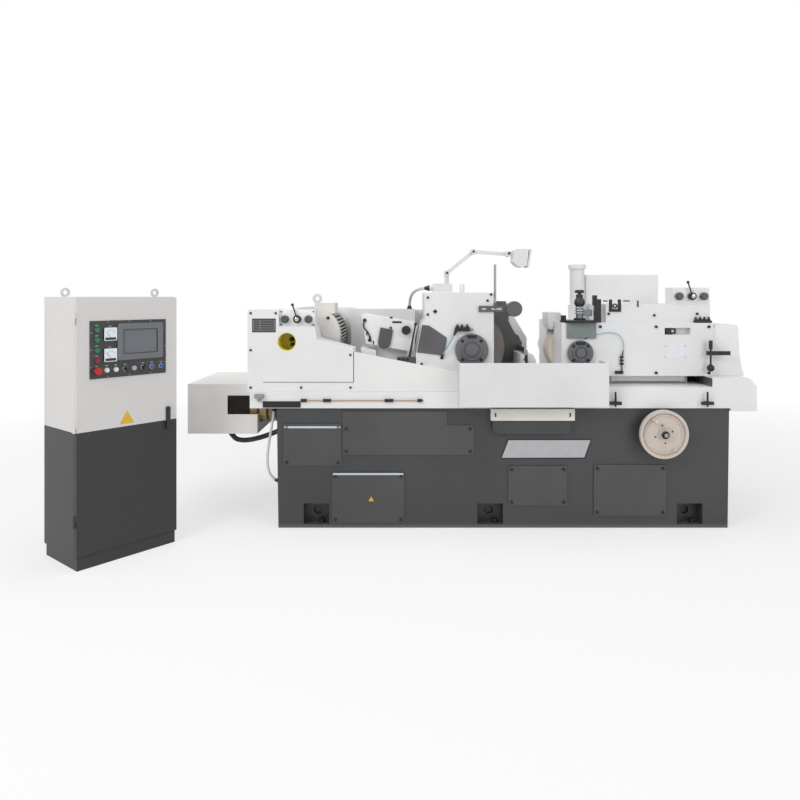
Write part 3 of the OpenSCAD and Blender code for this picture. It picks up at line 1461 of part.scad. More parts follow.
// Door: a sheet tray with the instrument cut-out and a dished handle
panel_share = 0.12;
panel_u0 = panel_share * cab_w;
panel_w_share = 0.756;
panel_w = panel_w_share * cab_w;
panel_z0 = 1012;
panel_h = 313;
panel_t = 4;
panel_lap = 10;
handle_inset = 63;
handle_u = cab_w - handle_inset;
handle_z = 800;
handle_w = 28;
handle_l = 128;
handle_pin_d = 12;
handle_base_t = 6;
door_low = 4;
door_high = 4;

module cabinet_door() {
  z0 = plinth_h + door_low;
  z1 = cab_h - door_high;
  color([0.85, 0.85, 0.84]) cab_frame() difference() {
    union() {
      block(door_side_gap, cab_w - door_side_gap, 0, door_t, z0, z1);
      for (s = hinge_shares) {
        bar_z(-hinge_out, hinge_v, s * cab_h + hinge_h + seat, s * cab_h + 2 * hinge_h, hinge_d);
        block(-hinge_out, door_side_gap + over, hinge_v - hinge_d / 2, hinge_v - hinge_d / 2 + hinge_leaf_t,
              s * cab_h + hinge_h + seat, s * cab_h + 2 * hinge_h);
      }
      block(handle_u - handle_w / 2 - handle_base_t, handle_u + handle_w / 2 + handle_base_t,
            -handle_base_t, over, handle_z - handle_l + handle_w / 2 - handle_base_t,
            handle_z + handle_w / 2 + handle_base_t);
    }
    block(door_side_gap + cab_sheet, cab_w - door_side_gap - cab_sheet, cab_sheet, door_t + over,
          z0 + cab_sheet, z1 - cab_sheet);
    for (s = hinge_shares)
      bar_z(-hinge_out, hinge_v, s * cab_h, s * cab_h + 2 * hinge_h + over,
            hinge_pin_d + 2 * shaft_play);
    block(panel_u0 + panel_lap, panel_u0 + panel_w - panel_lap, -over, door_t + over,
          panel_z0 + panel_lap, panel_z0 + panel_h - panel_lap);
    bar_y(handle_u, handle_z, -handle_base_t - over, door_t + over, handle_pin_d + 2 * shaft_play);
  }
}

module door_handle() {
  y1 = -handle_base_t - seat;
  color([0.12, 0.12, 0.12]) cab_frame() {
    bar_y(handle_u, handle_z, y1 - handle_pin_d, y1, handle_w);
    block(handle_u - handle_w / 2 + panel_t / 2, handle_u + handle_w / 2 - panel_t / 2, y1 - handle_pin_d,
          y1, handle_z - handle_l + handle_w / 2, handle_z);
    bar_y(handle_u, handle_z, y1 - seat, door_t, handle_pin_d);
    block(handle_u - handle_pin_d, handle_u + handle_pin_d, door_t / 2, door_t / 2 + panel_t,
          handle_z - handle_w, handle_z + handle_pin_d);
  }
}

// Instrument panel: plate, touch screen, two meters, four lamps, a key lock and the button collars
stem_d = 22;
collar_d = 29;
collar_t = 6;
screen_shares = [0.336, 0.614];
screen_u0 = panel_u0 + screen_shares[0] * panel_w;
screen_w = screen_shares[1] * panel_w;
screen_z_shares = [0.294, 0.652];
screen_z0 = panel_z0 + screen_z_shares[0] * panel_h;
screen_h = screen_z_shares[1] * panel_h;
bezel_t = 8;
glass_inset_u = 37;
glass_inset_z = 36;
screen_deep = 24;
meter_w = 72;
meter_share = 0.247;
meter_u = panel_u0 + meter_share * panel_w;
meter_z_shares = [0.764, 0.399];
meter_zs = [for (s = meter_z_shares) panel_z0 + s * panel_h];
meter_t = 10;
lamp_share = 0.0815;
lamp_u = panel_u0 + lamp_share * panel_w;
lamp_z_shares = [0.847, 0.668, 0.492, 0.319];
lamp_zs = [for (s = lamp_z_shares) panel_z0 + s * panel_h];
pilot_d = 26;
pilot_t = 12;
row_z_share = 0.137;
row_z = panel_z0 + row_z_share * panel_h;
stop_z = row_z;
row_shares = [0.204, 0.32, 0.441, 0.554, 0.677, 0.8, 0.928];
row_us = [for (s = row_shares) panel_u0 + s * panel_w];
cap_out = 8;
stem_in = 18;
travel = 4;

// Places of the moving controls: the stop button, then the row without its key lock
control_us = [lamp_u, row_us[0], row_us[1], row_us[2], row_us[4], row_us[5], row_us[6]];
control_zs = [stop_z, row_z, row_z, row_z, row_z, row_z, row_z];

module control_panel() {
  color([0.27, 0.28, 0.3]) cab_frame() {
    difference() {
      union() {
        block(panel_u0, panel_u0 + panel_w, -panel_t, 0, panel_z0, panel_z0 + panel_h);
        corner_plate(screen_u0, screen_u0 + screen_w, -panel_t - bezel_t, -panel_t, screen_z0,
                     screen_z0 + screen_h, bezel_t);
        block(screen_u0 + glass_inset_u, screen_u0 + screen_w - glass_inset_u, -panel_t, screen_deep,
              screen_z0 + glass_inset_z, screen_z0 + screen_h - glass_inset_z);
        for (i = [0 : len(control_us) - 1])
          bar_y(control_us[i], control_zs[i], -panel_t - collar_t, 0, collar_d);
      }
      block(screen_u0 + glass_inset_u, screen_u0 + screen_w - glass_inset_u, -panel_t - bezel_t - over,
            -panel_t - bezel_t / 2, screen_z0 + glass_inset_z, screen_z0 + screen_h - glass_inset_z);
      for (i = [0 : len(control_us) - 1])
        bar_y(control_us[i], control_zs[i], -panel_t - collar_t - over, over, stem_d + 2 * shaft_play);
    }
    for (z = meter_zs)
      corner_plate(meter_u - meter_w / 2, meter_u + meter_w / 2, -panel_t - meter_t, -panel_t,
                   z - meter_w / 2, z + meter_w / 2, bezel_t / 2);
    for (z = lamp_zs) bar_y(lamp_u, z, -panel_t - pilot_t, -panel_t, pilot_d);
    bar_y(row_us[3], row_z, -panel_t - pilot_t, -panel_t, pilot_d);
  }
}

module control_stem(i, out) {
  bar_y(control_us[i], control_zs[i], -panel_t - collar_t - out, stem_in - panel_t, stem_d);
}

module push_button(i, c) {
  color(c) cab_frame() control_stem(i, cap_out);
}

mushroom_d = 40;
mushroom_t = 12;
module stop_button() {
  color([0.75, 0.1, 0.08]) cab_frame() {
    control_stem(0, cap_out + over);
    bar_y(control_us[0], control_zs[0], -panel_t - collar_t - cap_out - mushroom_t,
          -panel_t - collar_t - cap_out, mushroom_d);
  }
}

grip_t = 8;
grip_l = 34;
module turn_knob(i, a) {
  color([0.1, 0.1, 0.1]) cab_frame() {
    control_stem(i, cap_out);
    translate([control_us[i], -panel_t - collar_t - cap_out + seat, control_zs[i]]) rotate([0, a, 0])
      block(-grip_t / 2, grip_t / 2, -cap_out, 0, -grip_l / 2, grip_l / 2);
  }
}

module selector() { turn_knob(3, -30); }
module dial() { turn_knob(4, 20); }
module white_button_a() { push_button(1, [0.9, 0.9, 0.9]); }
module white_button_b() { push_button(2, [0.9, 0.9, 0.9]); }
module blue_button_a() { push_button(5, [0.15, 0.35, 0.7]); }
module blue_button_b() { push_button(6, [0.15, 0.35, 0.7]); }

// Mounting plate inside the cabinet, with rows of switchgear on rails
gear_inset = 40;
gear_t = 3;
gear_post = 34;
gear_post_d = 14;
gear_w = 45;
gear_h = 85;
gear_depth = 90;
gear_pitch = 56;
gear_rows = [0.78, 0.6, 0.42];
gear_cols = 8;
rail_h = 35;
drive_unit_w = 190;
drive_unit_h = 280;
drive_unit_l = 150;
module cabinet_gear() {
  v1 = cab_depth - cab_sheet;
  v = v1 - gear_post;
  x0 = gear_inset + gear_pitch / 2;
  color([0.8, 0.8, 0.78]) cab_frame() {
    block(gear_inset, cab_w - gear_inset, v - gear_t, v, plinth_h + gear_inset, cab_h - gear_inset);
    for (u = [gear_inset + gear_post, cab_w - gear_inset - gear_post])
      for (z = [plinth_h + gear_inset + gear_post, cab_h - gear_inset - gear_post])
        bar_y(u, z, v, v1, gear_post_d);
    for (r = gear_rows) {
      block(gear_inset + gear_t, cab_w - gear_inset - gear_t, v - 2 * gear_t, v - gear_t,
            r * cab_h - rail_h / 2, r * cab_h + rail_h / 2);
      for (i = [0 : gear_cols - 1])
        block(x0 + i * gear_pitch, x0 + i * gear_pitch + gear_w, v - 2 * gear_t - gear_depth,
              v - 2 * gear_t, r * cab_h - gear_h / 2, r * cab_h + gear_h / 2);
    }
    for (u = [x0, cab_w - x0 - drive_unit_w])
      block(u, u + drive_unit_w, v - gear_t - drive_unit_l, v - gear_t, plinth_h + gear_inset + gear_post,
            plinth_h + gear_inset + gear_post + drive_unit_h);
  }
}

bed();
bed_covers();
levelling_jacks();
drip_tray();
lower_table();
splash_trough();
left_housing();
main_motor();
main_belts();
wheel_head();
wheel_bearings();
wheel_bearing_cap();
wheel_guard();
belt_guard();
workrest();
work_blade();
dresser_tray();
dresser_base();
coolant_box();
coolant_hose();
feed_motor();
table_cable();
lamp_base();
cabinet_body();
cabinet_gear();
motor_pulley();
wheel_spindle();
grinding_wheel();
wheel_dresser();
dresser_knob();
lamp_lower_arm();
lamp_upper_arm();
lamp_head();
feed_handwheel();
regulating_head();
carriage_covers();
regulating_cap();
regulating_spindle();
regulating_wheel();
reg_dresser();
dresser_handwheel();
left_lever();
left_knob_a();
left_knob_b();
right_lever();
right_knob_a();
right_knob_b();
clamp_lever_a();
clamp_lever_b();
end_lever();
cabinet_door();
door_handle();
control_panel();
stop_button();
white_button_a();
white_button_b();
selector();
dial();
blue_button_a();
blue_button_b();
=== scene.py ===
import json
import math

import bmesh
import bpy
from mathutils import Matrix, Vector

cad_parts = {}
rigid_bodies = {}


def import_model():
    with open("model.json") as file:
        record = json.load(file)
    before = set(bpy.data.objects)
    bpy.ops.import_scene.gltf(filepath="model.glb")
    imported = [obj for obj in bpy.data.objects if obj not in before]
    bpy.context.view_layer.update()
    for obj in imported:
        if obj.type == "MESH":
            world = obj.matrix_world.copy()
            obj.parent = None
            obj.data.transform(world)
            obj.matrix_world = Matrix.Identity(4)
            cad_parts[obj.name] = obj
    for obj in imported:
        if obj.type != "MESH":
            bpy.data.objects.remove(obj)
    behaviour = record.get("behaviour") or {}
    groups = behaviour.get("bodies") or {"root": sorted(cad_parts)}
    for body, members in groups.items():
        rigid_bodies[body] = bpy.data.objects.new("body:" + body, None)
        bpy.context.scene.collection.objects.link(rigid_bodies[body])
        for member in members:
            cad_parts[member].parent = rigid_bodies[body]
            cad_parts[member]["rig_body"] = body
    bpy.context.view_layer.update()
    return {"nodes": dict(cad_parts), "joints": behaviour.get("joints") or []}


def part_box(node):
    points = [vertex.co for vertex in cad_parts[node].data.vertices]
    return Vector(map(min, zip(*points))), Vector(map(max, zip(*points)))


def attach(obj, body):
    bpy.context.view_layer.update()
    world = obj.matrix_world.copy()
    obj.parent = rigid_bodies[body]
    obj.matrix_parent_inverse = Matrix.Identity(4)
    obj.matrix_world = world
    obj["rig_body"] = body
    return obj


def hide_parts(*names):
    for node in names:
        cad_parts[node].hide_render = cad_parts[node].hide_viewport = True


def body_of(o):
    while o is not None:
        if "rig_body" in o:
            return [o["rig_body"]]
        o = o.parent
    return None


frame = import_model()


# Camera. It stands level in front of the machine, left of its middle and at the height
# of the grinding spindle's hood, and looks straight back.
lens_mm = 30.56
sensor_mm = 36.0
camera_at = (-0.5985, -4.828, 1.455)
camera_data = bpy.data.cameras.new("camera")
camera_data.lens = lens_mm
camera_data.sensor_width = sensor_mm
camera_data.shift_x = -0.01
camera_data.shift_y = -0.129
camera_data.clip_start = 0.05
camera_data.clip_end = 100.0
camera = bpy.data.objects.new("camera", camera_data)
camera.location = camera_at
camera.rotation_euler = (math.radians(90), 0, 0)
bpy.context.scene.collection.objects.link(camera)
bpy.context.scene.camera = camera


# Studio. A pale floor and a white surround, one broad soft lamp high at the front left,
# a weaker one at the right, and a low fill, so that colours come out about as written.
def linear(code):
    """Turns an sRGB hex colour into the linear RGBA that Blender's sockets take."""
    shares = [int(code[i:i + 2], 16) / 255 for i in (0, 2, 4)]
    return [s / 12.92 if s <= 0.04045 else ((s + 0.055) / 1.055) ** 2.4 for s in shares] + [1.0]


def add(tree, kind, feeds=None, **settings):
    """Adds a node, makes its settings, and feeds its inputs with sockets or values."""
    made = tree.nodes.new(kind)
    for name, value in settings.items():
        setattr(made, name, value)
    for name, value in (feeds or {}).items():
        if isinstance(value, bpy.types.NodeSocket):
            tree.links.new(value, made.inputs[name])
        else:
            made.inputs[name].default_value = value
    return made


def see_white(tree, surface, out, share):
    """Mixes plain white into what the camera, gloss and glass see of a backdrop."""
    rays = add(tree, "ShaderNodeLightPath")
    seen = add(tree, "ShaderNodeMath", {0: rays.outputs["Is Camera Ray"],
                                        1: rays.outputs["Is Glossy Ray"]}, operation="MAXIMUM")
    through = add(tree, "ShaderNodeMath", {0: seen.outputs[0],
                                           1: rays.outputs["Is Transmission Ray"]},
                  operation="MAXIMUM")
    part = add(tree, "ShaderNodeMath", {0: through.outputs[0], 1: share}, operation="MULTIPLY")
    white = add(tree, "ShaderNodeEmission" if out.type == "OUTPUT_MATERIAL"
                else "ShaderNodeBackground", {"Color": linear("ffffff"), "Strength": 1.0})
    mixed = add(tree, "ShaderNodeMixShader", {0: part.outputs[0], 1: surface, 2: white.outputs[0]})
    tree.links.new(mixed.outputs[0], out.inputs["Surface"])


floor_size = 60.0
floor_mesh = bpy.data.meshes.new("studio_floor")
half = floor_size / 2
floor_mesh.from_pydata([(-half, -half, 0), (half, -half, 0), (half, half, 0), (-half, half, 0)],
                       [], [(0, 1, 2, 3)])
floor = bpy.data.objects.new("studio_floor", floor_mesh)
bpy.context.scene.collection.objects.link(floor)
floor_paint = bpy.data.materials.new("studio_floor_paint")
floor_paint.use_nodes = True
floor_shader = floor_paint.node_tree.nodes["Principled BSDF"]
floor_shader.inputs["Base Color"].default_value = linear("f2f2f2")
floor_shader.inputs["Roughness"].default_value = 0.9
floor_tree = floor_paint.node_tree
away = add(floor_tree, "ShaderNodeVectorMath",
           {0: add(floor_tree, "ShaderNodeTexCoord").outputs["Object"]}, operation="LENGTH")
fading = add(floor_tree, "ShaderNodeMapRange", {"Value": away.outputs["Value"], "From Min": 2.2,
                                                "From Max": 6.5, "To Min": 0.6, "To Max": 1.0})
see_white(floor_tree, floor_shader.outputs[0], floor_tree.nodes["Material Output"],
          fading.outputs[0])
floor_mesh.materials.append(floor_paint)

surround = bpy.data.worlds.new("studio_surround")
surround.use_nodes = True
bpy.context.scene.world = surround
ambient = surround.node_tree.nodes["Background"]
ambient.inputs["Color"].default_value = linear("ffffff")
ambient.inputs["Strength"].default_value = 0.5
see_white(surround.node_tree, ambient.outputs[0], surround.node_tree.nodes["World Output"], 1.0)


def soft_lamp(name, place, target, size, power):
    """A square area lamp that looks at a point."""
    data = bpy.data.lights.new(name, "AREA")
    data.size = size
    data.energy = power
    lamp = bpy.data.objects.new(name, data)
    lamp.location = place
    lamp.rotation_euler = (Vector(target) - Vector(place)).to_track_quat("-Z", "Y").to_euler()
    bpy.context.scene.collection.objects.link(lamp)


machine_middle = (-0.45, 0.0, 0.7)
soft_lamp("lamp_front_left", (-4.6, -5.2, 4.6), machine_middle, 3.0, 170)
soft_lamp("lamp_front_right", (3.8, -5.6, 3.4), machine_middle, 3.0, 92)
soft_lamp("lamp_top", (-0.4, -0.6, 5.5), machine_middle, 3.5, 74)
bpy.context.scene.view_settings.view_transform = "Standard"


# Bed. One grey iron casting on six jacks, filled, sprayed with dark grey machine enamel
# that shows a soft orange peel, with a raised lip round the tray's drain at the front.
def start_finish(name):
    """Starts a material, and gives it, its node tree and the place on the object."""
    coat = bpy.data.materials.new(name)
    coat.use_nodes = True
    return coat, coat.node_tree, add(coat.node_tree, "ShaderNodeTexCoord").outputs["Object"]


def end_finish(tree, colour, pattern, rough, relief=None, metallic=0.0):
    """Ends a material: its colour, a roughness that a pattern moves between two values, and
    a relief in that pattern or another, as (pattern, strength, depth)."""
    shader = tree.nodes["Principled BSDF"]
    varied = add(tree, "ShaderNodeMapRange", {"Value": pattern, "To Min": rough[0],
                                              "To Max": rough[1]})
    tree.links.new(colour, shader.inputs["Base Color"])
    tree.links.new(varied.outputs[0], shader.inputs["Roughness"])
    shader.inputs["Metallic"].default_value = metallic
    if relief:
        height, strength, depth = relief
        bump = add(tree, "ShaderNodeBump", {"Height": height, "Strength": strength,
                                            "Distance": depth})
        tree.links.new(bump.outputs["Normal"], shader.inputs["Normal"])


def enamel(name, coat, shade, roughness, spread=0.45, peel=0.0045, dust=0.0):
    """Sprayed two-pack enamel: an even colour with slow drifts of tone, and orange peel.
    The real peel is 1-2 mm wide and is drawn three times coarser, so that it shows."""
    paint, tree, place = start_finish(name)
    drift = add(tree, "ShaderNodeTexNoise", {"Vector": place, "Scale": 1 / spread, "Detail": 3.0})
    toned = add(tree, "ShaderNodeValToRGB", {"Fac": drift.outputs["Fac"]})
    toned.color_ramp.elements[0].position = 0.32
    toned.color_ramp.elements[0].color = linear(shade)
    toned.color_ramp.elements[1].position = 0.62
    toned.color_ramp.elements[1].color = linear(coat)
    peels = add(tree, "ShaderNodeTexNoise", {"Vector": place, "Scale": 1 / peel, "Detail": 2.0})
    colour = toned.outputs["Color"]
    if dust:
        height = add(tree, "ShaderNodeSeparateXYZ", {"Vector": place}).outputs["Z"]
        low = add(tree, "ShaderNodeMapRange", {"Value": height, "From Min": 0.0, "From Max": dust,
                                               "To Min": 0.35, "To Max": 0.0})
        settled = add(tree, "ShaderNodeMix", {0: low.outputs[0], 6: colour,
                                              7: linear("8f8c86")}, data_type="RGBA")
        colour = settled.outputs[2]
    end_finish(tree, colour, drift.outputs["Fac"], (roughness - 0.05, roughness + 0.07),
               (peels.outputs["Fac"], 0.12, 0.0006))
    return paint


def new_piece(name, mesh, coats, body):
    """Puts a mesh in the scene as a piece that rides on a body and takes the finishes given."""
    piece = bpy.data.objects.new(name, mesh)
    bpy.context.scene.collection.objects.link(piece)
    for coat in coats:
        mesh.materials.append(coat)
    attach(piece, body)
    return piece


sharp_degrees = 32


def ease(piece, width):
    """Rounds a piece's sharp edges, as a filled and painted or a deburred edge is."""
    rounding = piece.modifiers.new("eased_edges", "BEVEL")
    rounding.width = width
    rounding.segments = 2
    rounding.limit_method = "ANGLE"
    rounding.angle_limit = math.radians(sharp_degrees)
    rounding.harden_normals = True
    rounding.use_clamp_overlap = True


def joined(mesh):
    """Joins a mesh's loose triangles into whole faces, smooth except across sharp edges."""
    shape = bmesh.new()
    shape.from_mesh(mesh)
    bmesh.ops.remove_doubles(shape, verts=shape.verts, dist=0.00002)
    bmesh.ops.dissolve_limit(shape, angle_limit=math.radians(0.3), verts=shape.verts,
                             edges=shape.edges)
    for face in shape.faces:
        face.smooth = True
    for edge in shape.edges:
        edge.smooth = edge.is_manifold and edge.calc_face_angle(0) < math.radians(sharp_degrees)
    return shape


def coat_node(name, coats, where=None, width=0.002):
    """A machine part's own shape as a finished piece: joined, eased and coated. where gives
    the number of the coat for a face from its middle and its outward direction."""
    node = frame["nodes"][name]
    mesh = node.data.copy()
    mesh.name = name + "_finished"
    mesh.materials.clear()
    shape = joined(mesh)
    for face in shape.faces:
        face.material_index = where(face.calc_center_median(), face.normal) if where else 0
    shape.to_mesh(mesh)
    shape.free()
    piece = new_piece(name + "_finished", mesh, coats, body_of(node)[0])
    if width:
        ease(piece, width)
    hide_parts(name)


bed_enamel = enamel("bed_grey_enamel", "3f4041", "363738", 0.42, spread=0.8, dust=0.03)
coat_node("bed", [bed_enamel], width=0.004)
bed_low, bed_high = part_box("bed")
bed_l = bed_high[0] - bed_low[0]


# Levelling jacks under the bed: forged steel screws, oil-blackened, with hexagon heads, that
# stand on the floor in the bed's pockets.
def steel(name, bright, dull, roughness, grain=0.002, patch=0.06, along=(1, 1, 14), bare=True):
    """Machined steel: tool marks drawn long in one direction, with faint dull patches. The
    marks are 0.2 mm apart and are drawn ten times coarser, so that they show. Blackened
    steel keeps them under a thin oxide, which is dark and barely metallic."""
    metal, tree, place = start_finish(name)
    drawn = add(tree, "ShaderNodeMapping", {"Vector": place, "Scale": along})
    marks = add(tree, "ShaderNodeTexNoise", {"Vector": drawn.outputs[0], "Scale": 1 / grain,
                                             "Detail": 2.0})
    patches = add(tree, "ShaderNodeTexNoise", {"Vector": place, "Scale": 1 / patch, "Detail": 3.0})
    toned = add(tree, "ShaderNodeMix", {0: patches.outputs["Fac"], 6: linear(bright),
                                        7: linear(dull)}, data_type="RGBA")
    end_finish(tree, toned.outputs[2], marks.outputs["Fac"], (roughness - 0.08, roughness + 0.1),
               (marks.outputs["Fac"], 0.15, 0.0002), metallic=1.0 if bare else 0.35)
    return metal


black_oxide = steel("oil_blackened_steel", "1d1d1f", "29292b", 0.45, bare=False)
coat_node("levelling_jacks", [black_oxide], width=0.001)


# Bolted covers on the bed's front: sheet steel plates in the bed's enamel, each held by
# four black socket head screws. Two have an aluminium finger lip along the top, whose bright
# bluish colour is also a painted highlight of the top edge.
def add_turned(shape, foot, along, profile, coat=0, sides=24, ring=False):
    """Adds a form turned about a line. The profile lists (distance along, radius), from one
    closed end to the other, or round a ring. A radius may be a function of the angle."""
    turn = Vector(along).to_track_quat("Z", "Y").to_matrix()
    loops = []
    for reach, radius in profile:
        loop = []
        for k in range(sides):
            angle = 2 * math.pi * k / sides
            out = radius(angle) if callable(radius) else radius
            loop.append(shape.verts.new(Vector(foot) + turn @ Vector(
                (out * math.cos(angle), out * math.sin(angle), reach))))
        loops.append(loop)
    pairs = list(zip(loops, loops[1:])) + ([(loops[-1], loops[0])] if ring else [])
    faces = [shape.faces.new((a[k - 1], a[k], b[k], b[k - 1])) for a, b in pairs
             for k in range(sides)]
    if not ring:
        faces += [shape.faces.new(loops[0][::-1]), shape.faces.new(loops[-1])]
    for face in faces:
        face.material_index = coat


def add_block(shape, low, high, coat=0):
    """Adds a closed block between two opposite corners."""
    verts = bmesh.ops.create_cube(shape, size=1.0)["verts"]
    for vert in verts:
        vert.co = [low[i] if vert.co[i] < 0 else high[i] for i in range(3)]
    for face in {face for vert in verts for face in vert.link_faces}:
        face.material_index = coat


def add_plate(shape, front, width, height, proud, coat=0, sunk=0.002):
    """Adds a plate on a front face, between the two x of width and the two z of height. It
    stands proud of the face and is sunk a little in it, so that no gap shows."""
    add_block(shape, (width[0], front - proud, height[0]), (width[1], front + sunk, height[1]),
              coat)


def finished(name, shape, coats, body, width=0.001, smooth=sharp_degrees):
    """Makes a built shape a piece: its faces point outward, and it is smooth except across
    its sharp edges, which are eased."""
    bmesh.ops.recalc_face_normals(shape, faces=shape.faces)
    for face in shape.faces:
        face.smooth = True
    for edge in shape.edges:
        edge.smooth = edge.calc_face_angle(0) < math.radians(smooth)
    mesh = bpy.data.meshes.new(name)
    shape.to_mesh(mesh)
    shape.free()
    piece = new_piece(name, mesh, coats, body)
    if width:
        ease(piece, width)
    return piece


to_front, upward = (0, -1, 0), (0, 0, 1)


def socket_screw():
    """A socket head cap screw with a head 1 across, for copies to be scaled."""
    def hexagon(angle):
        return 0.27 / math.cos((angle + math.pi / 6) % (math.pi / 3) - math.pi / 6)
    shape = bmesh.new()
    add_turned(shape, (0, 0, 0), upward, [(-0.3, 0.3), (0, 0.3), (0, 0.5), (0.5, 0.5),
                                          (0.56, 0.44), (0.56, hexagon), (0.25, hexagon)])
    mesh = bpy.data.meshes.new("socket_screw")
    shape.to_mesh(mesh)
    shape.free()
    return mesh


def copies(name, unit, places, coat, body):
    """Sets copies of a small shape on a body with Geometry Nodes, kept as a plain mesh. Each
    place is a point, the way that the copy faces, and its size."""
    points = bpy.data.meshes.new(name + "_places")
    points.from_pydata([place[0] for place in places], [], [])
    ways = points.attributes.new("facing", "FLOAT_VECTOR", "POINT")
    ways.data.foreach_set("vector", [value for place in places for value in place[1]])
    sizes = points.attributes.new("size", "FLOAT", "POINT")
    sizes.data.foreach_set("value", [place[2] for place in places])
    tree = bpy.data.node_groups.new(name + "_tree", "GeometryNodeTree")
    tree.interface.new_socket("Places", in_out="INPUT", socket_type="NodeSocketGeometry")
    tree.interface.new_socket("Copied Shape", in_out="INPUT", socket_type="NodeSocketObject")
    tree.interface.new_socket("Finish", in_out="INPUT", socket_type="NodeSocketMaterial")
    tree.interface.new_socket("Copies", in_out="OUTPUT", socket_type="NodeSocketGeometry")
    given = add(tree, "NodeGroupInput")
    facing = add(tree, "GeometryNodeInputNamedAttribute", {"Name": "facing"},
                 data_type="FLOAT_VECTOR")
    size = add(tree, "GeometryNodeInputNamedAttribute", {"Name": "size"}, data_type="FLOAT")
    turned = add(tree, "FunctionNodeAlignRotationToVector",
                 {"Vector": facing.outputs["Attribute"]}, axis="Z")
    single = add(tree, "GeometryNodeObjectInfo", {"Object": given.outputs["Copied Shape"]})
    placed = add(tree, "GeometryNodeInstanceOnPoints",
                 {"Points": given.outputs["Places"], "Instance": single.outputs["Geometry"],
                  "Rotation": turned.outputs[0], "Scale": size.outputs["Attribute"]})
    real = add(tree, "GeometryNodeRealizeInstances", {"Geometry": placed.outputs[0]})
    coated = add(tree, "GeometryNodeSetMaterial", {"Geometry": real.outputs[0],
                                                   "Material": given.outputs["Finish"]})
    add(tree, "NodeGroupOutput", {"Copies": coated.outputs[0]})
    pattern = bpy.data.objects.new(name + "_unit", unit)
    holder = bpy.data.objects.new(name + "_holder", points)
    for helper in (pattern, holder):
        bpy.context.scene.collection.objects.link(helper)
    spread = holder.modifiers.new("copies", "NODES")
    spread.node_group = tree
    keys = {item.name: item.identifier for item in tree.interface.items_tree}
    spread[keys["Copied Shape"]] = pattern
    spread[keys["Finish"]] = coat
    ready = holder.evaluated_get(bpy.context.evaluated_depsgraph_get())
    mesh = bpy.data.meshes.new_from_object(ready)
    mesh.name = name
    for helper in (pattern, holder):
        bpy.data.objects.remove(helper)
    new_piece(name, mesh, [coat], body)


def screws(name, places, body="frame", coat=black_oxide):
    """Sets socket head cap screws on a body, oil-blackened unless another coat is given."""
    copies(name, socket_screw(), places, coat, body)


def front_screws(places, head, depth):
    """Places of screws that face the front, from their (x, z), their size and their depth."""
    return [((x, depth, z), to_front, head) for x, z in places]


cover_enamel = enamel("cover_grey_enamel", "49494a", "424243", 0.4, spread=0.35)
coat_node("bed_covers", [cover_enamel], width=0.0015)
cover_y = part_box("bed_covers")[1][1] - 0.008
cover_inset = 0.022
cover_shares = [(0.0147, 0.1435, 0.5185, 0.8677), (0.1221, 0.2818, 0.0437, 0.4616),
                (0.5109, 0.6411, 0.1878, 0.5185), (0.7, 0.86, 0.1032, 0.5265),
                (0.1456, 0.4351, 0.6085, 0.8558)]
cover_corners = [(bed_low[0] + x_share * bed_l + x_side * cover_inset,
                  z_share * bed_high[2] + z_side * cover_inset)
                 for x0, x1, z0, z1 in cover_shares
                 for x_share, x_side in ((x0, 1), (x1, -1))
                 for z_share, z_side in ((z0, 1), (z1, -1))]
screws("cover_screws", front_screws(cover_corners, 0.017, cover_y))
# The lips' bright bluish aluminium is partly a real lip and partly a painted highlight along the
# covers' top edges.
lip_painted_highlight = steel("lip_aluminium_painted_highlight", "cdd2dc", "bcc1cb", 0.3, along=(14, 1, 1))
lip_inset, lip_out, lip_high = 0.006, 0.006, 0.014
shape = bmesh.new()
for (x0, x1, z0, z1), drop in ((cover_shares[0], 0.014), (cover_shares[1], 0.001)):
    top = z1 * bed_high[2] - drop
    add_plate(shape, cover_y, (bed_low[0] + x0 * bed_l + lip_inset,
                               bed_low[0] + x1 * bed_l - lip_inset), (top - lip_high, top), lip_out)
finished("cover_lips", shape, [lip_painted_highlight], "frame", width=0.003)


# Drip tray under the trough: a folded sheet drawer in cream enamel, with two slots, that
# slides into the bed's front.
cream_enamel = enamel("cream_enamel", "e2dfd8", "dad7cf", 0.42, spread=0.3)
coat_node("drip_tray", [cream_enamel], width=0.0015)


# Lower table: a long grey iron casting in white enamel. The dovetail ways on its right are
# ground and left bare.
white_enamel = enamel("white_machine_enamel", "e6e6e7", "dfdfe0", 0.38, spread=0.5)
ground_iron = steel("ground_cast_iron", "9b9c9e", "86878a", 0.34, along=(1, 14, 1))
way_height = 0.8885
dovetail_start, dovetail_end = 0.66, 1.31
dovetail_half_w = 0.23


def way_coat(at, facing):
    """The dovetail and the flat beside it are bare iron."""
    beside = dovetail_start < at.x < dovetail_end and abs(at.y) < dovetail_half_w
    return 1 if beside and at.z > way_height else 0


coat_node("lower_table", [white_enamel, ground_iron], where=way_coat, width=0.004)


# Oil pipe along the table's front: drawn copper tube in four black clips, with a grey iron
# junction at its left end. A black plate left of the pipe is painted shade of the slot in the
# table's front that it leaves from.
def add_tube(shape, line, radius, coat=0, sides=12):
    """Adds a round tube along points, closed at both ends. The radius may be a function of
    the point's number."""
    loops = []
    across = None
    for i, at in enumerate(line):
        ahead = (line[min(i + 1, len(line) - 1)] - line[max(i - 1, 0)]).normalized()
        across = ahead.orthogonal() if across is None else across - ahead * across.dot(ahead)
        across.normalize()
        up = ahead.cross(across)
        out = radius(i) if callable(radius) else radius
        loops.append([shape.verts.new(at + out * (across * math.cos(2 * math.pi * k / sides)
                                                  + up * math.sin(2 * math.pi * k / sides)))
                      for k in range(sides)])
    faces = [shape.faces.new((a[k - 1], a[k], b[k], b[k - 1])) for a, b in zip(loops, loops[1:])
             for k in range(sides)]
    faces += [shape.faces.new(loops[0][::-1]), shape.faces.new(loops[-1])]
    for face in faces:
        face.material_index = coat


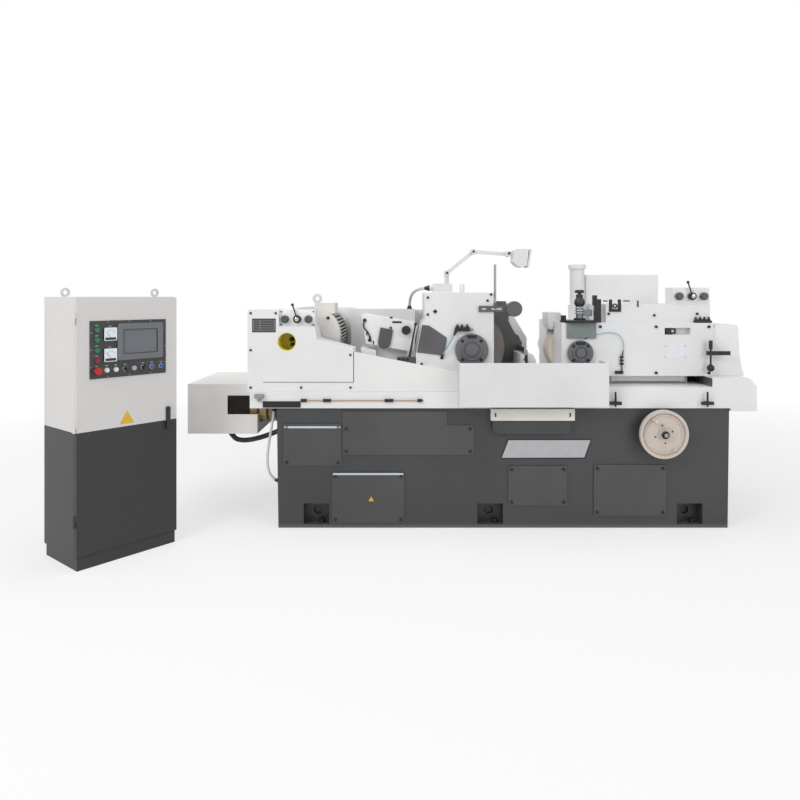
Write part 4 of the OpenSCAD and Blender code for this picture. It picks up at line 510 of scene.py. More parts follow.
copper = steel("aged_copper", "b39a88", "a08675", 0.4, along=(14, 1, 1))
table_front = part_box("lower_table")[0][1]
pipe_z, pipe_r = 0.806, 0.0035
pipe_y = table_front - 0.01
pipe_ends = (-1.262, -0.515)
clip_half_h, clip_out, junction_foot = 0.009, 0.016, 0.822
shape = bmesh.new()
add_tube(shape, [Vector((x, pipe_y, pipe_z)) for x in pipe_ends]
         + [Vector((pipe_ends[1] + 0.012, table_front, pipe_z))], pipe_r)
for clip in ((-1.269, -1.232), (-1.13, -1.08), (-0.745, -0.69), (-0.54, -0.51)):
    add_plate(shape, table_front, clip, (pipe_z - clip_half_h, pipe_z + clip_half_h), clip_out, 1)
# A black plate where the slot in the table's front is: painted shade of that slot.
add_plate(shape, table_front, (-1.508, -1.272), (0.761, 0.8), 0.006, 1)
add_plate(shape, table_front, (-1.556, -1.5), (junction_foot, 0.846), 0.03, 2)
add_turned(shape, (-1.528, table_front - 0.015, junction_foot), (0, 0, -1),
           [(0, 0.008), (0.022, 0.008)])
finished("oil_pipe", shape, [copper, black_oxide, ground_iron], "frame")


# Name plate on the bed's cover: a blank parallelogram of etched steel on a black backing
# plate that shows as a narrow edge round it.
plate_steel = steel("etched_plate_steel", "b9babd", "a9aaad", 0.3, along=(14, 1, 1))
plate_edge = enamel("name_plate_edge", "121213", "0d0d0e", 0.3, spread=0.1)
plate_corners = ((-0.012, 0.437), (0.031, 0.556), (0.554, 0.556), (0.516, 0.439))
plate_y = bed_low[1] + 0.044
mid_x = sum(x for x, z in plate_corners) / 4
mid_z = sum(z for x, z in plate_corners) / 4
shape = bmesh.new()
for out, rise, coat in ((-0.004, 0.001, 1), (0.004, 0.0018, 0)):
    rim = [(x + out * math.copysign(1, mid_x - x), z + out * math.copysign(1, mid_z - z))
           for x, z in plate_corners]
    back = [shape.verts.new((x, plate_y + 0.001, z)) for x, z in rim]
    front = [shape.verts.new((x, plate_y - rise, z)) for x, z in rim]
    faces = [shape.faces.new(front), shape.faces.new(back[::-1])]
    faces += [shape.faces.new((back[k - 1], back[k], front[k], front[k - 1])) for k in range(4)]
    for face in faces:
        face.material_index = coat
finished("name_plate", shape, [plate_steel, plate_edge], "frame", width=0.0004)


# Splash trough in front of the wheels: a welded sheet tray in white enamel, outside and in,
# that catches the coolant.
trough_enamel = enamel("trough_white_enamel", "dedede", "d7d7d8", 0.4, spread=0.4)
coat_node("splash_trough", [trough_enamel], width=0.0015)


# Left housing: folded sheet steel over the motor's front, in white enamel, with the valve
# block in its notch and a yellow lining in its inspection hole.
housing_enamel = enamel("housing_white_enamel", "e6e5e6", "dfdfdf", 0.36, spread=0.4)
yellow_lining = enamel("yellow_lining", "dccb35", "d0bd2c", 0.45, spread=0.1)
hole_x, hole_z, hole_r = -1.36, 1.172, 0.058
lining_front, lining_back = -0.559, -0.44
valve_plate_y, valve_plate_foot = -0.53, 1.26
head_on = 0.9


def housing_coat(at, facing):
    """The inspection hole's lining is yellow, and the sunk valve plate is painted a whiter white,
    as painted light against the shade of its notch.
    """
    if facing.y < -head_on and at.z > valve_plate_foot and abs(at.y - valve_plate_y) < 0.004:
        return 2
    sunk = lining_front < at.y < lining_back
    return 1 if sunk and math.hypot(at.x - hole_x, at.z - hole_z) < hole_r else 0


# The valve plate's whiter white is painted light: it lifts the shade that falls in the housing's
# notch.
valve_painted_light = enamel("valve_plate_painted_light", "f6f6f7", "f0f0f1", 0.36, spread=0.4)
coat_node("left_housing", [housing_enamel, yellow_lining, valve_painted_light],
          where=housing_coat)


# Fittings on the left housing: a black rubber gasket along its joints, a black legend plate
# ruled into blank rows, two oil cups in the inspection hole, and cap screws.
def soft_skin(name, tone, light, roughness, grain, bloom_w=0.05):
    """Rubber, nylon or soft vinyl: dull, with a fine moulded grain and a dusty bloom. The
    grain is 0.5 mm across and is drawn at least four times coarser, so that it shows."""
    skin, tree, place = start_finish(name)
    bloom = add(tree, "ShaderNodeTexNoise", {"Vector": place, "Scale": 1 / bloom_w, "Detail": 4.0})
    fine = add(tree, "ShaderNodeTexNoise", {"Vector": place, "Scale": 1 / grain, "Detail": 2.0})
    toned = add(tree, "ShaderNodeMix", {0: bloom.outputs["Fac"], 6: linear(tone),
                                        7: linear(light)}, data_type="RGBA")
    end_finish(tree, toned.outputs[2], fine.outputs["Fac"], (roughness - 0.08, roughness + 0.08),
               (fine.outputs["Fac"], 0.2, 0.0003))
    return skin


def moulded(name, tone, roughness, grain=0.0015, wave=0.02):
    """Compression-moulded plastic: an even colour under a slightly uneven polish."""
    plastic, tree, place = start_finish(name)
    fine = add(tree, "ShaderNodeTexNoise", {"Vector": place, "Scale": 1 / grain, "Detail": 2.0})
    wide = add(tree, "ShaderNodeTexNoise", {"Vector": place, "Scale": 1 / wave, "Detail": 2.0})
    value = add(tree, "ShaderNodeMapRange", {"Value": wide.outputs["Fac"], "To Min": 0.9,
                                             "To Max": 1.1})
    toned = add(tree, "ShaderNodeHueSaturation", {"Color": linear(tone), "Value": value.outputs[0]})
    end_finish(tree, toned.outputs[0], fine.outputs["Fac"], (roughness - 0.05, roughness + 0.05))
    return plastic


gasket_rubber = soft_skin("gasket_rubber", "1c1c1c", "262626", 0.65, 0.002)
legend_black = moulded("legend_black", "202023", 0.4)
legend_pale = moulded("legend_pale", "b9bab8", 0.45)
housing_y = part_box("left_housing")[0][1]
gasket_t = 0.0012
shape = bmesh.new()
add_plate(shape, housing_y, (-0.942, -0.938), (0.92, 1.112), gasket_t, sunk=0.004)
add_plate(shape, housing_y, (-1.51, -0.942), (0.9165, 0.9195), gasket_t, sunk=0.004)
finished("housing_gaskets", shape, [gasket_rubber], "frame", width=0)
legend_left, legend_right, legend_foot, legend_top = -1.578, -1.43, 1.232, 1.318
legend_t, legend_rows, legend_rim = 0.0015, 7, 0.008
rule_half, rule_proud = 0.0008, 0.0003
legend_front = housing_y - legend_t
shape = bmesh.new()
add_plate(shape, housing_y, (legend_left, legend_right), (legend_foot, legend_top), legend_t,
          sunk=0.001)
for row in range(legend_rows):
    row_z = legend_foot + 0.01 + row * (legend_top - legend_foot - 0.02) / (legend_rows - 1)
    add_plate(shape, legend_front, (legend_left + legend_rim, legend_right - legend_rim),
              (row_z - rule_half, row_z + rule_half), rule_proud, 1, sunk=0.0002)
for column_x in (legend_left + legend_rim, legend_left + 0.05, legend_right - legend_rim):
    add_plate(shape, legend_front, (column_x - rule_half, column_x + rule_half),
              (legend_foot + 0.009, legend_top - 0.009), rule_proud, 1, sunk=0.0002)
finished("valve_legend", shape, [legend_black, legend_pale], "frame", width=0)
shape = bmesh.new()
for cup_x, cup_z, cup_r in ((hole_x + 0.016, hole_z + 0.012, 0.013),
                            (hole_x + 0.02, hole_z - 0.021, 0.01)):
    add_turned(shape, (cup_x, housing_y + 0.112, cup_z), to_front,
               [(0, cup_r), (0.05, cup_r), (0.052, 0.7 * cup_r), (0.07, 0.7 * cup_r),
                (0.074, 0.4 * cup_r)])
finished("housing_oil_cups", shape, [black_oxide], "frame", width=0.0006)
housing_screws = front_screws(((-1.587, 0.885), (-1.27, 0.885), (-0.96, 0.885), (-1.587, 1.352),
                               (-1.43, 1.352), (-1.587, 1.12), (-0.96, 1.09)), 0.014, housing_y)
valve_screws = front_screws([(x, z) for x in (-1.4, -1.197) for z in (1.279, 1.361)], 0.009,
                            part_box("left_knob_a")[0][1] + 0.0363)
screws("housing_screws", housing_screws + valve_screws)


# Main motor: a cast iron barrel with fins and end bells, in greyish white enamel, with a
# terminal box and an eyebolt. Black cap screws hold its bells and its feet.
motor_enamel = enamel("motor_white_enamel", "dedcd7", "d2d0cb", 0.45, spread=0.2)
motor_low, motor_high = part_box("main_motor")
motor_x = (motor_low[0] + motor_high[0]) / 2
motor_z = motor_low[2] + 0.335
fins_inner, fins_half_h = 0.08, 0.165
fins_front, fins_back = -0.25, 0.35


def motor_coat(at, facing):
    """The faces between the fins on the barrel's sides are painted dark, as painted shade in the
    gaps.
    """
    beside = abs(at.x - motor_x) > fins_inner and abs(at.z - motor_z) < fins_half_h
    return 1 if beside and fins_front < at.y < fins_back and abs(facing.z) > head_on else 0


# The gaps between the fins take a dark grey: painted shade, where the real gaps only fall in
# shadow.
fin_painted_shade = enamel("fin_gap_painted_shade", "4a4a48", "3c3c3b", 0.8, spread=0.05)
coat_node("main_motor", [motor_enamel, fin_painted_shade], where=motor_coat, width=0.001)
bell_circle_r, foot_half = 0.172, 0.163
bell_screws = front_screws([(motor_x + bell_circle_r * math.cos(math.radians(turned)),
                             motor_z + bell_circle_r * math.sin(math.radians(turned)))
                            for turned in range(45, 405, 90)], 0.02, motor_low[1])
foot_screws = [((motor_x + side * foot_half, y, motor_low[2] + 0.026), upward, 0.022)
               for side in (-1, 1) for y in (-0.16, 0.24)]
screws("motor_screws", bell_screws + foot_screws)


# Belt drive behind the machine: turned iron pulleys and four rubber belts, in a folded sheet
# guard in white enamel that is screwed on from the back.
turned_iron = steel("turned_iron", "85868a", "77787c", 0.36)
belt_rubber = soft_skin("belt_rubber", "1a1a1a", "262626", 0.7, 0.002)
# The guard's white is brighter than the other whites: painted light that lifts the shade it stands
# in behind the motor and the head.
guard_painted_light = enamel("guard_white_painted_light", "f0f0f1", "eaeaeb", 0.4, spread=0.5)
coat_node("motor_pulley", [turned_iron], width=0.001)
coat_node("main_belts", [belt_rubber], width=0.001)
coat_node("belt_guard", [guard_painted_light])
guard_low, guard_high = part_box("belt_guard")
guard_screws = [((x, guard_high[1], z), (0, 1, 0), 0.016)
                for z in (guard_low[2] + 0.05, guard_high[2] - 0.06)
                for x in (-1.42, -1.1, -0.78, -0.46, -0.14, 0.18)]
screws("guard_screws", guard_screws)


# Wheel head: a grey iron casting in white enamel round the grinding wheel, with bronze
# bearings, a hardened ground spindle and a vitrified wheel.
def abrasive(name, body_tone, grain_tone, grit, cloud_w=0.09, matt=0.9):
    """A bonded wheel: grains in a matt bond, with open pores between them. The grit is
    0.3-0.5 mm across and is drawn four times coarser, so that it shows."""
    wheel, tree, place = start_finish(name)
    grains = add(tree, "ShaderNodeTexVoronoi", {"Vector": place, "Scale": 1 / grit})
    cloud = add(tree, "ShaderNodeTexNoise", {"Vector": place, "Scale": 1 / cloud_w, "Detail": 4.0})
    speck = add(tree, "ShaderNodeMapRange", {"Value": grains.outputs["Distance"], "From Min": 0.1,
                                             "From Max": 0.7})
    mixed = add(tree, "ShaderNodeMath", {0: speck.outputs[0], 1: cloud.outputs["Fac"]},
                operation="MULTIPLY")
    toned = add(tree, "ShaderNodeMix", {0: mixed.outputs[0], 6: linear(body_tone),
                                        7: linear(grain_tone)}, data_type="RGBA")
    end_finish(tree, toned.outputs[2], cloud.outputs["Fac"], (matt, matt),
               (grains.outputs["Distance"], 0.5, 0.0005))
    return wheel


head_enamel = enamel("head_white_enamel", "e3e3e4", "dadadb", 0.4, spread=0.5)
bronze = steel("bearing_bronze", "b58f4e", "a07c42", 0.35)
ground_steel = steel("ground_steel", "a2a3a6", "8e8f93", 0.26)
cap_enamel = enamel("cap_grey_enamel", "6a6b6f", "626367", 0.34, spread=0.15)
wheel_grit = abrasive("vitrified_abrasive", "6c6765", "9d9691", 0.0018)
dark_enamel = enamel("guard_dark_enamel", "5a5a5c", "505052", 0.45, spread=0.2)
coat_node("wheel_head", [head_enamel], width=0.004)
coat_node("wheel_bearings", [bronze], width=0.0005)
coat_node("wheel_spindle", [ground_steel], width=0.001)
coat_node("grinding_wheel", [wheel_grit])


def cap_coat(node, screw_h=0.01, raised_share=0.62):
    """Gives the coat function of one bearing cap: its screws and its oil block are black."""
    low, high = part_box(node)
    middle_x, middle_z = (low[0] + high[0]) / 2, (low[2] + high[2]) / 2
    raised_r = 0.5 * raised_share * (high[0] - low[0])

    def coat(at, facing):
        proud = at.y <= low[1] + screw_h - 0.0005
        beside = math.hypot(at.x - middle_x, at.z - middle_z) > raised_r + 0.001
        return 1 if proud and beside else 0
    return coat


coat_node("wheel_bearing_cap", [cap_enamel, black_oxide],
          where=cap_coat("wheel_bearing_cap"), width=0.0015)
bracket_low, bracket_high = 1.28, 1.4
bracket_x, bracket_half_w = -0.04, 0.12
slot_front, slot_back = -0.4405, -0.431


def guard_coat(at, facing):
    """The stop rod is bright steel, and white paint shows in the bracket's two slots."""
    if at.z > bracket_high + 0.01:
        return 1
    sunk = facing.y < -head_on and slot_front < at.y < slot_back
    return 2 if sunk and at.z > bracket_low and abs(at.x - bracket_x) < bracket_half_w else 0


coat_node("wheel_guard", [dark_enamel, ground_steel, head_enamel], where=guard_coat)


# Oil fittings on the wheel head: a black manifold above the cap with three black unions and
# a brass one at its end, a square black plug, and a white post on the head's top.
brass = steel("union_brass", "a8905c", "8f7a4c", 0.35)
head_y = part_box("wheel_head")[0][1]
manifold_foot, manifold_top, manifold_t, manifold_end = 1.232, 1.258, 0.028, -0.2
shape = bmesh.new()
add_plate(shape, head_y, (-0.296, manifold_end), (manifold_foot, manifold_top), manifold_t, 1)
for union_x in (-0.28, -0.25, -0.216):
    add_turned(shape, (union_x, head_y - manifold_t / 2, manifold_top), upward,
               [(-0.004, 0.009), (0.01, 0.009), (0.011, 0.005), (0.02, 0.005)], 1, sides=12)
add_turned(shape, (manifold_end, head_y - manifold_t / 2, 1.245), (1, 0, 0),
           [(-0.004, 0.007), (0.018, 0.007), (0.019, 0.004), (0.024, 0.004)], 0, sides=12)
add_turned(shape, (-0.4225, head_y + 0.002, 1.36), to_front, [(0, 0.015), (0.007, 0.015)], 1,
           sides=4)
finished("head_oil_manifold", shape, [brass, black_oxide], "frame", width=0.0005)
shape = bmesh.new()
add_turned(shape, (-0.238, -0.3, 1.48), upward,
           [(0, 0.016), (0.05, 0.016), (0.058, 0.012), (0.062, 0.006)])
finished("head_post", shape, [head_enamel], "frame", width=0)
head_screws = front_screws(((-0.083, 1.43), (-0.061, 1.47), (-0.47, 1.45), (-0.47, 1.34),
                            (-0.09, 0.9), (-0.51, 0.9), (-0.51, 1.02)), 0.016, head_y)
screws("head_screws", head_screws)


# Workrest between the wheels: a cast rest in pale grey enamel with black clamps on its front,
# and the hardened, ground blade that carries the work.
rest_enamel = enamel("rest_grey_enamel", "d9d9d9", "cfcfcf", 0.4, spread=0.2)
blade_steel = steel("hardened_blade_steel", "b0b1b4", "9d9ea2", 0.22)
clamp_back = -0.331


def rest_coat(at, facing):
    """The clamps on the rest's front are black."""
    return 1 if at.y < clamp_back else 0


coat_node("workrest", [rest_enamel, black_oxide], where=rest_coat)
coat_node("work_blade", [blade_steel], width=0.0005)


# Wheel dresser: a leaning cast slide in white enamel with a dark tongue plate, on a white
# base over a sloped sheet tray, and a blackened knob on its screw.
dresser_enamel = enamel("dresser_white_enamel", "e6e6e6", "dedede", 0.36, spread=0.3)
base_enamel = enamel("dresser_dark_enamel", "4c4c4e", "434345", 0.5, spread=0.2)
tray_enamel = enamel("tray_white_enamel", "e5e5e4", "dddddb", 0.4, spread=0.4)
coat_node("dresser_tray", [tray_enamel])
coat_node("dresser_base", [dresser_enamel])
slide_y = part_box("wheel_dresser")[0][1] + 0.013


def slide_coat(at, facing):
    """The tongue plate on the slide's front is dark."""
    return 1 if at.y < slide_y else 0


coat_node("wheel_dresser", [dresser_enamel, base_enamel], where=slide_coat,
          width=0.003)
coat_node("dresser_knob", [black_oxide])


# Small parts of the wheel dresser: black index plates, a stop screw, three marks and a bent
# grip on the slide, and the feed rod that leans in its dark cast socket on the base's right.
def bend(start, out, back, end, steps=24):
    """Points of a smooth curve from start to end. It leaves towards out, and comes in from
    back."""
    guides = [Vector(point) for point in (start, out, back, end)]
    return [sum((guide * weight for guide, weight in zip(guides, (
        (1 - t) ** 3, 3 * t * (1 - t) ** 2, 3 * t * t * (1 - t), t ** 3))), Vector())
        for t in (i / steps for i in range(steps + 1))]


slide_front = slide_y + 0.001
shape = bmesh.new()
add_plate(shape, slide_front, (-0.702, -0.64), (1.282, 1.294), 0.003)
add_plate(shape, slide_front, (-0.718, -0.7), (1.312, 1.324), 0.002)
add_turned(shape, (-0.712, slide_front, 1.251), to_front, [(-0.002, 0.008), (0.006, 0.008)])
mark_half_w, mark_h = 0.004, 0.025
for mark in range(3):
    mark_x, mark_z = -0.87 + 0.022 * mark, 1.2 - 0.03 * mark
    add_plate(shape, slide_front, (mark_x - mark_half_w, mark_x + mark_half_w),
              (mark_z, mark_z + mark_h), 0.002)
finished("dresser_index", shape, [black_oxide], "dresser_slide", width=0.0004)
shape = bmesh.new()
rod_foot, rod_head = Vector((-0.6, -0.41, 1.0)), Vector((-0.548, -0.41, 1.285))
rod_l = (rod_head - rod_foot).length
rod_r, rod_knob_r = 0.0055, 0.009
add_turned(shape, rod_foot, rod_head - rod_foot,
           [(-0.01, 0.014), (0.03, 0.014), (0.032, 0.008), (0.7 * rod_l, rod_r),
            (rod_l - 0.02, rod_r), (rod_l - 0.018, rod_knob_r), (rod_l, rod_knob_r),
            (rod_l + 0.004, 0.006)])
add_block(shape, (-0.67, -0.43, 0.96), (-0.546, -0.368, 1.062), 1)
for screw_x in (-0.655, -0.628, -0.601):
    add_turned(shape, (screw_x, -0.428, 1.05), to_front, [(0, 0.008), (0.01, 0.008)])
finished("dresser_feed_rod", shape, [black_oxide, base_enamel], "frame",
         width=0.001)
shape = bmesh.new()
add_tube(shape, bend((-0.884, slide_front - 0.004, 1.3), (-0.912, slide_front - 0.02, 1.23),
                     (-0.85, slide_front - 0.02, 1.25), (-0.85, slide_front - 0.004, 1.17)), 0.005)
for foot_x, foot_z in ((-0.884, 1.3), (-0.85, 1.17)):
    add_turned(shape, (foot_x, slide_front + 0.004, foot_z), to_front,
               [(0, 0.012), (0.014, 0.012)])
finished("dresser_grip", shape, [black_oxide], "dresser_slide", width=0.0008)


# Coolant box at the left end: folded sheet in a warmer white. The round feed drive beside it,
# on the bed's end, is in ochre enamel with black bands.
box_enamel = enamel("box_warm_white_enamel", "f3f1ee", "ebe8e5", 0.42, spread=0.35)
ochre_enamel = enamel("ochre_enamel", "b59b62", "a38a54", 0.45, spread=0.1)
coat_node("coolant_box", [box_enamel], width=0.0015)
band_black = enamel("drive_band_black", "262627", "1f1f20", 0.5, spread=0.1)
band_pitch, band_w = 0.062, 0.016


def drive_coat(at, facing):
    """The bands round the drive are black. Each ends a whole number of pitches out."""
    along = (bed_low[0] - at.x) / band_pitch
    number = round(along + band_w / band_pitch / 2)
    on_band = -0.001 < (number - along) * band_pitch < band_w + 0.001
    return 1 if on_band and at.x < bed_low[0] - band_w - 0.004 else 0


coat_node("feed_motor", [ochre_enamel, band_black], where=drive_coat, width=0.001)


# Cords. Each is one flexible length that sags between its two black fittings: a black rubber
# coolant hose, a white sheathed cable, the lamp's ribbed white conduit, and two thin light
# blue nylon oil hoses.
hose_rubber = soft_skin("hose_rubber", "2b2b2c", "38383a", 0.6, 0.003)
cable_jacket = soft_skin("white_cable_jacket", "dddcda", "d2d1ce", 0.5, 0.002)
blue_nylon = soft_skin("blue_nylon", "8fb3c4", "7da3b6", 0.4, 0.002)


def way_length(line):
    """Length along a line of points."""
    return sum((b - a).length for a, b in zip(line, line[1:]))


def hose(name, guides, diameter, coat, node=None, rib=0.0, rib_pitch=0.005, body="frame"):
    """A hose or cable between two fittings, drawn along a smooth curve from its four guides. Ribs
    stand rib proud of a conduit's wall."""
    route = bend(*guides)
    steps = 24 if not rib else int(2 * way_length(route) / rib_pitch)
    shape = bmesh.new()
    add_tube(shape, bend(*guides, steps=steps),
             lambda i: diameter / 2 - (rib if i % 2 else 0.0), sides=16)
    piece = finished(name, shape, [coat], body, width=0, smooth=80)
    for end, inner in ((route[0], route[1]), (route[-1], route[-2])):
        fitting = bmesh.new()
        away = (inner - end).normalized()
        add_turned(fitting, end - 0.004 * away, away,
                   [(0, 0.95 * diameter), (0.012, 0.95 * diameter), (0.013, 0.8 * diameter),
                    (0.03, 0.62 * diameter), (0.036, 0.54 * diameter)], sides=12)
        finished(name + ("_exit_nut" if end is route[0] else "_end_nut"), fitting, [black_oxide],
                 body, width=0.0008)
    if node:
        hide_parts(node)


hose("coolant_hose_finished", ((-1.781, -0.26, 0.552), (-1.781, -0.26, 0.432),
                               (-1.5426, -0.26, 0.516), (-1.4229, -0.26, 0.576)),
     0.033, hose_rubber, "coolant_hose")
hose("bed_cable", ((-1.455, -0.49, 0.756), (-1.455, -0.49, 0.596), (-1.569, -0.49, 0.311),
                   (-1.419, -0.49, 0.279)),
     0.016, cable_jacket, "table_cable")
hose("lamp_conduit", ((-0.456, -0.25, 1.5135), (-0.56, -0.25, 1.5135), (-0.588, 0.19, 1.484),
                      (-0.588, 0.19, 1.366)),
     0.02, cable_jacket, "table_cable", rib=0.0012)
hose("head_oil_hose", ((-0.29, -0.444, 1.232), (-0.31, -0.47, 1.19), (-0.37, -0.47, 1.1),
                       (-0.38, -0.432, 1.06)),
     0.011, blue_nylon)
hose("carriage_oil_hose", ((0.541, -0.462, 1.186), (0.66, -0.462, 1.235), (0.825, -0.462, 1.27),
                           (0.78, -0.462, 1.081)),
     0.005, blue_nylon, body="carriage")


# Work lamp on the wheel head: an arm lamp of moulded white plastic with a dark lens, whose
# joints are held by black cap screws.
lamp_plastic = soft_skin("white_lamp_plastic", "dfdfde", "d6d6d4", 0.4, 0.002)
lens_dark = moulded("lamp_lens_dark", "3c4043", 0.2)
lens_slant = 0.75


def hood_coat(at, facing):
    """The hood's lens and its rim look down and to the right, and are dark."""
    return 1 if facing.x > lens_slant or facing.z < -lens_slant else 0


for lamp_node in ("lamp_base", "lamp_lower_arm", "lamp_upper_arm"):
    coat_node(lamp_node, [lamp_plastic], width=0.001)
coat_node("lamp_head", [lamp_plastic, lens_dark], where=hood_coat, width=0.003)
pivots = {joint["name"]: joint.get("pos_m") for joint in frame["joints"]}
for joint, body, node in (("lamp_lower_tilt", "lamp_lower", "lamp_lower_arm"),
                          ("lamp_upper_tilt", "lamp_upper", "lamp_upper_arm"),
                          ("lamp_hood_tilt", "lamp_hood", "lamp_head")):
    pivot = pivots[joint]
    screws(node + "_screw", front_screws([(pivot[0], pivot[2])], 0.016,
                                         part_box(node)[0][1] + 0.001), body)


# Feed handwheel: a dished iron wheel in cream enamel, bolted through its web and held by a
# bright nut on a black washer.
wheel_cream = enamel("handwheel_cream_enamel", "cfc3b9", "c4b8ae", 0.36, spread=0.15)


def front_of(node, x, z):
    """The depth at which a line from the front first meets a machine part."""
    shape = frame["nodes"][node]
    inward = shape.matrix_world.inverted()
    met = shape.ray_cast(inward @ Vector((x, -3, z)), inward.to_3x3() @ Vector((0, 1, 0)))
    return (shape.matrix_world @ met[1]).y


hand_low, hand_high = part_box("feed_handwheel")
hand_x, hand_z = (hand_low[0] + hand_high[0]) / 2, (hand_low[2] + hand_high[2]) / 2
bolt_circle_r, bolt_head = 0.056, 0.009
hand_bolts = []
for turned in (17, 100, 197, 280):
    bolt_x = hand_x + bolt_circle_r * math.cos(math.radians(turned))
    bolt_z = hand_z + bolt_circle_r * math.sin(math.radians(turned))
    hand_bolts += front_screws([(bolt_x, bolt_z)], bolt_head,
                               front_of("feed_handwheel", bolt_x, bolt_z))
hub_y = front_of("feed_handwheel", hand_x, hand_z)
coat_node("feed_handwheel", [wheel_cream])
hand_body = body_of(frame["nodes"]["feed_handwheel"])[0]
screws("handwheel_bolts", hand_bolts, hand_body)
shape = bmesh.new()
add_turned(shape, (hand_x, hub_y + 0.002, hand_z), to_front,
           [(0, 0.024), (0.006, 0.024), (0.008, 0.021)], 1)
add_turned(shape, (hand_x, hub_y - 0.006, hand_z), to_front,
           [(0, 0.014), (0.01, 0.014), (0.012, 0.012)], sides=6)
finished("handwheel_nut", shape, [ground_steel, black_oxide], hand_body,
         width=0.0006)


# Regulating head: an iron slide with its sheet covers, in white enamel, round a rubber bonded
# wheel on a ground spindle. The column on top holds the slide of the wheel's dresser.
slide_enamel = enamel("slide_white_enamel", "e4e4e5", "dcdcdd", 0.38, spread=0.5)
sheet_enamel = enamel("covers_white_enamel", "e6e6e6", "dfdfdf", 0.38, spread=0.4)
wheel_rubber = abrasive("rubber_bonded_wheel", "e4d6c4", "f3ebdf", 0.0016)
coat_node("regulating_head", [slide_enamel], width=0.003)
coat_node("carriage_covers", [sheet_enamel], width=0.003)
coat_node("regulating_cap", [cap_enamel, black_oxide],
          where=cap_coat("regulating_cap"), width=0.0015)
coat_node("regulating_spindle", [ground_steel], width=0.001)
coat_node("regulating_wheel", [wheel_rubber])
column_steel = steel("dresser_grey_steel", "7d8084", "6e7175", 0.4)
grey_green = enamel("dresser_grey_green_enamel", "7d8686", "727b7b", 0.4, spread=0.2)
black_enamel = enamel("dresser_black_enamel", "2a2a2c", "222223", 0.35, spread=0.1)
block_top, collar_top, column_top = 1.289, 1.312, 1.385


def column_coat(at, facing):
    """A grey green block below, a black collar, a bright column and a black screw housing."""
    if at.z < block_top:
        return 1
    return 0 if collar_top <= at.z <= column_top else 2


coat_node("reg_dresser", [column_steel, grey_green, black_enamel],
          where=column_coat, width=0.0015)
coat_node("dresser_handwheel", [black_oxide])


# Small parts on the regulating side: chrome rings and a five lobed black knob on the
# dresser's column, a black post and a hook plate on the head, unions, the latch in the
# covers' recess, the oil hose's bracket, a bare name strip and a bare rating plate.
knob_black = moulded("lobed_knob_black", "1d1d1f", 0.3)
chrome = steel("chrome_plate", "c4c6ca", "b4b6ba", 0.15)
column_x, column_y = 0.521, -0.395
shape = bmesh.new()
for ring_z in (1.345, 1.362, 1.379):
    add_turned(shape, (column_x, column_y, ring_z), upward,
               [(0, 0.024), (0, 0.031), (0.002, 0.033), (0.006, 0.033), (0.008, 0.031),
                (0.008, 0.024)], sides=40)


def lobed(angle):
    """Outline of a hand knob with five lobes."""
    return 0.026 + 0.005 * math.cos(5 * angle)


housing_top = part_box("reg_dresser")[1][2]
add_turned(shape, (column_x, column_y, housing_top - 0.004), upward,
           [(0, 0.012), (0.012, 0.012), (0.014, lobed), (0.03, lobed), (0.034, 0.02)], 1, sides=60)
finished("dresser_column_rings", shape, [chrome, knob_black], "reg_dresser_slide",
         width=0.0005)
reg_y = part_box("regulating_head")[0][1]
covers_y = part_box("carriage_covers")[0][1]
shape = bmesh.new()
add_block(shape, (0.61, -0.44, block_top - 0.002), (0.65, -0.4, 1.44))
add_block(shape, (0.6, -0.436, 1.4), (0.625, -0.404, 1.465))
for low_x, high_x, low_z, high_z in ((0.703, 0.722, 1.372, 1.438), (0.76, 0.779, 1.372, 1.438),
                                     (0.703, 0.779, 1.358, 1.376), (0.665, 0.692, 1.424, 1.432),
                                     (0.795, 0.836, 1.424, 1.432), (0.885, 0.893, 1.39, 1.43)):
    add_plate(shape, covers_y, (low_x, high_x), (low_z, high_z), 0.008, sunk=0.004)
add_turned(shape, (0.741, covers_y - 0.004, 1.396), (0, 1, 0),
           [(0, 0.008), (0, 0.016), (0.01, 0.016), (0.01, 0.008)], sides=40, ring=True)
add_plate(shape, reg_y, (1.062, 1.128), (1.216, 1.25), 0.001, sunk=0.036)
add_plate(shape, reg_y, (0.735, 0.786), (0.959, 0.978), 0.014)
fitting_x, fitting_y = 0.776, reg_y - 0.012
for ring_z in (1.062, 1.04, 1.018):
    add_turned(shape, (fitting_x, fitting_y, ring_z), upward,
               [(0, 0.007), (0, 0.012), (0.012, 0.012), (0.012, 0.007)], ring=True)
add_tube(shape, [Vector((fitting_x, fitting_y, z)) for z in (1.075, 0.97)], 0.004)
finished("head_post_and_hooks", shape, [black_oxide], "carriage", width=0.001)
shape = bmesh.new()
add_block(shape, (1.25, -0.45, 1.286), (1.362, -0.43, 1.302), 1)
for union_x in (1.262, 1.29, 1.318, 1.346):
    add_turned(shape, (union_x, -0.44, 1.3), upward,
               [(0, 0.009), (0.014, 0.009), (0.015, 0.005), (0.026, 0.005)], 1, sides=12)
add_plate(shape, reg_y, (1.098, 1.114), (1.227, 1.241), 0.003)
finished("carriage_unions", shape, [chrome, black_oxide], "carriage",
         width=0.0005)
pale_plate = moulded("bare_plate_white", "dde0e6", 0.3)
plate_t = 0.0015
shape = bmesh.new()
add_plate(shape, reg_y, (1.054, 1.192), (1.06, 1.144), plate_t, sunk=0.001)
add_plate(shape, covers_y, (0.865, 0.941), (1.312, 1.323), plate_t, sunk=0.001)
finished("bare_plates", shape, [pale_plate], "carriage", width=0.0004)
carriage_screws = front_screws([(x, z) for x in (1.06, 1.186) for z in (1.066, 1.138)], 0.005,
                               reg_y - plate_t)
carriage_screws += front_screws(((0.7, 1.345), (0.995, 1.335), (1.273, 1.345)), 0.016, -0.43)
carriage_screws += front_screws([(x, z) for x in (0.64, 1.0, 1.34) for z in (0.965, 1.262)],
                                0.018, reg_y)
screws("carriage_screws", carriage_screws, "carriage")


